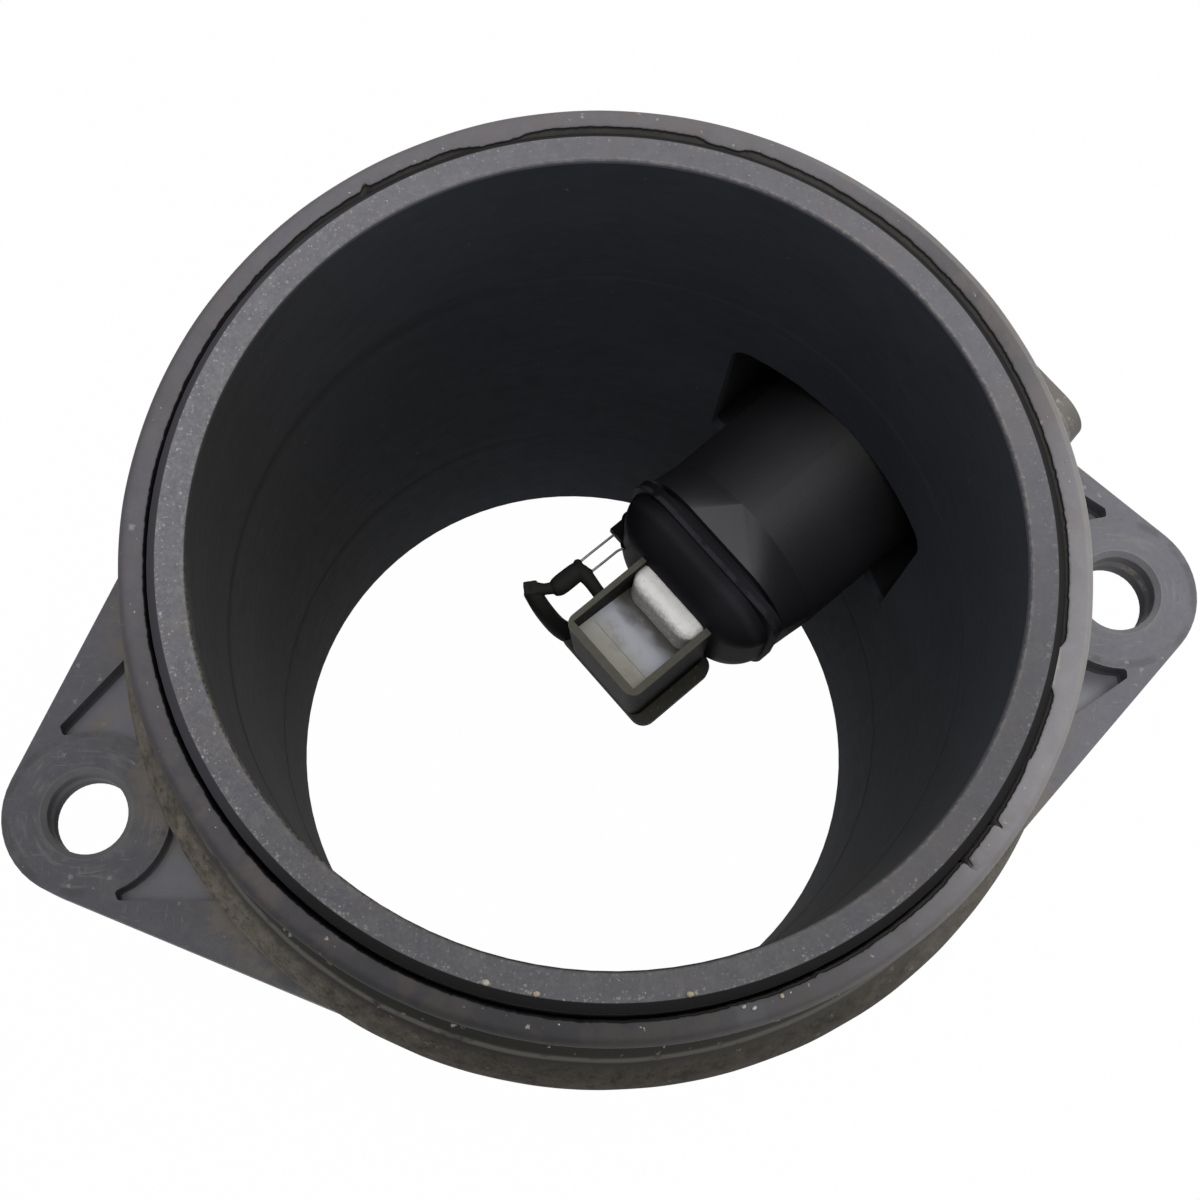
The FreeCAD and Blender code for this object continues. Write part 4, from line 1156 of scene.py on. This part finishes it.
@dataclass
class BeadLeads:
    """Two thin leads from the bead to the nose, with the lumps that seal them."""

    radius: float = 0.12
    upper: Table = (
        (5.4, 8.05, 40.4), (6.4, 8.05, 40.5), (8.6, 8.02, 40.5), (11.2, 8.0, 40.4),
        (13.0, 4.6, 40.6), (40.4, 4.6, 40.6))
    lower: Table = (
        (5.6, 6.65, 40.4), (6.5, 6.62, 40.4), (8.2, 6.6, 40.4), (9.9, 6.6, 40.4),
        (13.0, 3.7, 40.6), (40.4, 3.7, 40.6))
    lumps: Table = (
        (11.6, 7.75, 40.3, 0.86), (10.88, 7.1, 40.3, 0.78), (10.35, 6.5, 40.3, 0.68),
        (10.4, 5.8, 40.3, 0.66), (12.2, 8.15, 40.3, 0.88), (11.3, 6.3, 40.3, 1.0),
        (11.9, 7.3, 40.3, 1.1), (10.9, 5.2, 40.2, 0.8))

    def build(self, shop: Workshop, metal: Material, plastic: Material) -> None:
        """Add both leads and their lumps to the part."""
        for name, path in (("upper", self.upper), ("lower", self.lower)):
            places = [along_probe(*spot) for spot in path]
            mesh = Workshop.tube(places, [self.radius] * len(path), "lead", 6)
            shop.piece(f"bead_lead_{name}_wire", mesh, metal, [f"bead_lead_{name}"])
        lumps = [Workshop.ball(along_probe(*spot), radius, "lump") for *spot, radius in self.lumps]
        shop.piece("lead_lumps", Workshop.melted(lumps, 0.14, 2, "lead_lumps"), plastic)


@dataclass
class GelPad:
    """Lumpy pad of compound across the channel at the nose."""

    lumpy_above: float = 41.5
    lumps: Table = ((900.0, 0.05), (2600.0, 0.03))

    def build(self, shop: Workshop, material: Material) -> None:
        """Add the pad to the part."""
        source = bmesh.new()
        source.from_mesh(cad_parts["sealing_pad"].data)
        bmesh.ops.remove_doubles(source, verts=source.verts, dist=1e-6)
        mesh = bpy.data.meshes.new("pad")
        source.to_mesh(mesh)
        source.free()
        pad = Workshop.melted([mesh], 0.11, 2, "gel_pad")
        for vertex in pad.vertices:
            if vertex.co.z > self.lumpy_above * MM:
                lumps = (noise.noise(vertex.co * fine) * height for fine, height in self.lumps)
                vertex.co.z += sum(lumps) * MM
        shop.piece("gel_pad", pad, material, ["sealing_pad"])


@dataclass
class Grit:
    """Crumbs that lie on the seal's lip and the spigot's end face."""

    seed: int = 7
    count: int = 46
    seal_share: float = 0.4
    on_seal: tuple[float, float] = (34.6, 35.4)
    on_spigot: tuple[float, float] = (31.4, 33.1)
    sizes: tuple[float, float] = (0.04, 0.1)
    sunk: float = 0.25
    flatness: float = 0.55
    widths: tuple[float, float] = (0.6, 0.95)
    raggedness: float = 0.3
    placed: Table = (
        (-105.3, 33.0, 0.3), (-99.1, 33.0, 0.24), (-80.6, 33.0, 0.28),
        (-73.5, 34.9, 0.2), (-74.6, 34.6, 0.18), (-70.0, 34.7, 0.17))

    def build(self, shop: Workshop, material: Material) -> None:
        """Scatter the crumbs and add them to the part."""
        chance = Random(self.seed)
        heap = bmesh.new()
        spots = list(self.placed)
        for _ in range(self.count):
            outside = chance.random() < self.seal_share
            reach = chance.uniform(*(self.on_seal if outside else self.on_spigot))
            spots.append((chance.uniform(-180.0, 180.0), reach, chance.uniform(*self.sizes)))
        for azimuth, reach, size in spots:
            top = SEAL_TOP if reach > SEAL_BORE else SPIGOT_TOP
            place = Matrix.Translation(around_duct(reach, azimuth, top + size * self.sunk))
            turn = Matrix.Rotation(chance.uniform(0, math.pi), 4, "Z")
            squash = Matrix.Diagonal((1.0, chance.uniform(*self.widths), self.flatness, 1.0))
            made = bmesh.ops.create_icosphere(heap, subdivisions=2, radius=size * MM,
                                              matrix=place @ turn @ squash)
            centre = place.translation
            for vertex in made["verts"]:
                swell = 1.0 + self.raggedness * noise.noise(vertex.co * 6000.0)
                vertex.co = centre + (vertex.co - centre) * swell
        shop.piece("grit", Workshop.to_mesh(heap, "grit"), material)


class Finishes:
    """Gives every CAD node its finish."""

    def __init__(self) -> None:
        """Build the materials."""
        self.duct = DuctPlastic().make()
        self.rubber = PortRubber().make()
        self.probe = ProbePlastic().make()
        self.nose = ProbePlastic("nose_plastic_matt", gloss=0.02).make()
        self.cover = MouldedPlastic("cover_plastic_dusty", 96.0, (1.0, 0.97, 0.93), 0.6, 0.3, 0.7,
                                    150.0).make()
        self.ring = MouldedPlastic("ring_rubber_smooth", 36.0, rough=0.6, gloss=0.3, dust=0.1).make()
        self.channel = ChannelPlastic().make()
        self.bead = MouldedPlastic("bead_plastic_matt", 40.0, (1.0, 0.98, 0.96), 0.6, 0.04, 0.08,
                                   60.0).make()
        self.lead = PlainMetal("lead_metal_dull", 130.0, rough=0.4).make()
        self.gel = CuredGel().make()
        self.plate = GlazedPlate().make()
        self.strip = PlainMetal("strip_metal_plain", 180.0).make()
        self.board = BoardLaminate().make()
        self.chip = MouldedPlastic("chip_plastic_black", 34.0, dust=0.05).make()
        self.terminal = PlainMetal("terminal_metal_plated", 190.0, (1.0, 0.93, 0.74)).make()
        self.compound = MouldedPlastic("cover_compound_cured", 48.0, rough=0.3, dust=0.1).make()
        self.steel = PlainMetal("screw_steel_plated", 150.0, (1.0, 0.98, 0.94), 0.36).make()
        self.grit = GritDust().make()

    def dress(self) -> None:
        """Put the materials on the CAD nodes."""
        worn = {
            "duct_housing": self.duct, "port_seal": self.rubber,
            "sensor_body": self.probe, "body_seal_ring": self.ring,
            "probe_nose": self.nose, "channel_frame": self.channel,
            "bead_guard": self.bead, "temperature_bead": self.bead,
            "bead_lead_upper": self.lead, "bead_lead_lower": self.lead,
            "sealing_pad": self.gel, "film_plate": self.plate,
            "heater_film": self.plate, "element_leads": self.strip,
            "circuit_board": self.board, "signal_chip": self.chip,
            "board_components": self.chip, "connector_pins": self.terminal,
            "pin_links": self.terminal, "cover_seal_bead": self.compound,
            "electronics_cover": self.cover, "fixing_screws": self.steel}
        for name, material in worn.items():
            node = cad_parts[name]
            for slot in node.material_slots:
                slot.material = material
            LOG.info("node %s: %s", name, material.name)


@dataclass(frozen=True)
class Lamp:
    """A square soft lamp: its place and side in metres, its power in watts."""

    name: str
    place: tuple[float, float, float]
    power: float
    side: float


@dataclass
class Studio:
    """Pale floor, soft light and the camera."""

    camera_place: tuple[float, float, float] = (-7.215, -41.775, 211.145)
    right: tuple[float, float, float] = (0.9989, 0.0, 0.0479)
    up: tuple[float, float, float] = (-0.0129, 0.9628, 0.2698)
    lens: float = 57.0
    sensor: float = 36.0
    clip: tuple[float, float] = (0.01, 20.0)
    sky: float = 0.36
    floor_size: float = 2.0
    floor_drop: float = 0.0001
    floor_grey: Colour = (0.5, 0.5, 0.5, 1.0)
    floor_seen: float = 0.99
    lamp_aim: tuple[float, float, float] = (0.0, 0.0, 0.05)
    lamps: tuple[Lamp, ...] = (Lamp("top_lamp", (-0.03, -0.05, 0.62), 1.25, 0.3),
                               Lamp("key_lamp", (0.16, 0.09, 0.26), 0.42, 0.14))

    def floor(self) -> None:
        """Lay a floor that is white to the camera and still holds a shadow."""
        sheet = bmesh.new()
        bmesh.ops.create_grid(sheet, x_segments=1, y_segments=1, size=self.floor_size,
                              matrix=Matrix.Translation((0, 0, -self.floor_drop)))
        mesh = bpy.data.meshes.new("studio_floor")
        sheet.to_mesh(mesh)
        sheet.free()
        floor = bpy.data.objects.new("studio_floor", mesh)
        bpy.context.scene.collection.objects.link(floor)
        lab = ShaderLab("studio_floor_white")
        lab.coat(self.floor_grey, 0.9, 0.1)
        path = lab.node("ShaderNodeLightPath")
        seen = lab.maths("MAXIMUM", Signal(lab, path.outputs["Is Camera Ray"]),
                         Signal(lab, path.outputs["Is Glossy Ray"]))
        seen = lab.maths("MAXIMUM", seen, Signal(lab, path.outputs["Is Transmission Ray"]))
        glow = lab.node("ShaderNodeEmission", {}, {"Color": (1.0, 1.0, 1.0, 1.0), "Strength": 1.0})
        mixed = lab.node("ShaderNodeMixShader", {},
                         {0: seen * self.floor_seen, 1: lab.surface.outputs[0], 2: glow.outputs[0]})
        lab.feed(lab.output.inputs["Surface"], mixed.outputs[0])
        mesh.materials.append(lab.material)

    def light(self, lamp: Lamp) -> None:
        """Hang one soft lamp that faces the part."""
        data = bpy.data.lights.new(lamp.name, "AREA")
        data.energy = lamp.power
        data.size = lamp.side
        holder = bpy.data.objects.new(lamp.name, data)
        holder.location = lamp.place
        aim = Vector(self.lamp_aim) - Vector(lamp.place)
        holder.rotation_euler = aim.to_track_quat("-Z", "Y").to_euler()
        bpy.context.scene.collection.objects.link(holder)

    def world(self) -> None:
        """Light everything evenly from all around, and show white behind it."""
        world = bpy.data.worlds.new("studio_world")
        bpy.context.scene.world = world
        world.use_nodes = True
        tree = world.node_tree
        shade = tree.nodes["Background"]
        shade.inputs["Color"].default_value = (1.0, 1.0, 1.0, 1.0)
        path = tree.nodes.new("ShaderNodeLightPath")
        seen = path.outputs["Is Camera Ray"]
        for kind in ("Is Glossy Ray", "Is Transmission Ray"):
            either = tree.nodes.new("ShaderNodeMath")
            either.operation = "MAXIMUM"
            tree.links.new(seen, either.inputs[0])
            tree.links.new(path.outputs[kind], either.inputs[1])
            seen = either.outputs[0]
        level = tree.nodes.new("ShaderNodeMapRange")
        level.inputs["To Min"].default_value = self.sky
        tree.links.new(seen, level.inputs["Value"])
        tree.links.new(level.outputs[0], shade.inputs["Strength"])

    def camera(self) -> None:
        """Set the camera at the photograph's viewing angle."""
        data = bpy.data.cameras.new("camera")
        data.lens = self.lens
        data.sensor_width = self.sensor
        data.clip_start, data.clip_end = self.clip
        holder = bpy.data.objects.new("camera", data)
        right = Vector(self.right).normalized()
        up = (Vector(self.up) - right * right.dot(Vector(self.up))).normalized()
        back = right.cross(up)
        turn = Matrix((right, up, back)).transposed().to_4x4()
        holder.matrix_world = Matrix.Translation(Vector(self.camera_place) * MM) @ turn
        bpy.context.scene.collection.objects.link(holder)
        bpy.context.scene.camera = holder

    def build(self) -> None:
        """Set up the whole studio."""
        self.floor()
        self.world()
        for lamp in self.lamps:
            self.light(lamp)
        self.camera()
        bpy.context.scene.view_settings.view_transform = "Standard"


def main() -> None:
    """Dress the part and set up its studio."""
    logging.basicConfig(level=logging.INFO, format="%(message)s")
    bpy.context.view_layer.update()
    finishes = Finishes()
    finishes.dress()
    shop = Workshop()
    PortSeal().build(shop, finishes.rubber)
    BeadHolder().build(shop, finishes.bead)
    BeadLeads().build(shop, finishes.lead, finishes.nose)
    GelPad().build(shop, finishes.gel)
    Grit().build(shop, finishes.grit)
    Studio().build()
    LOG.info("%d new pieces", len(shop.pieces))


if __name__ == "__main__":
    main()
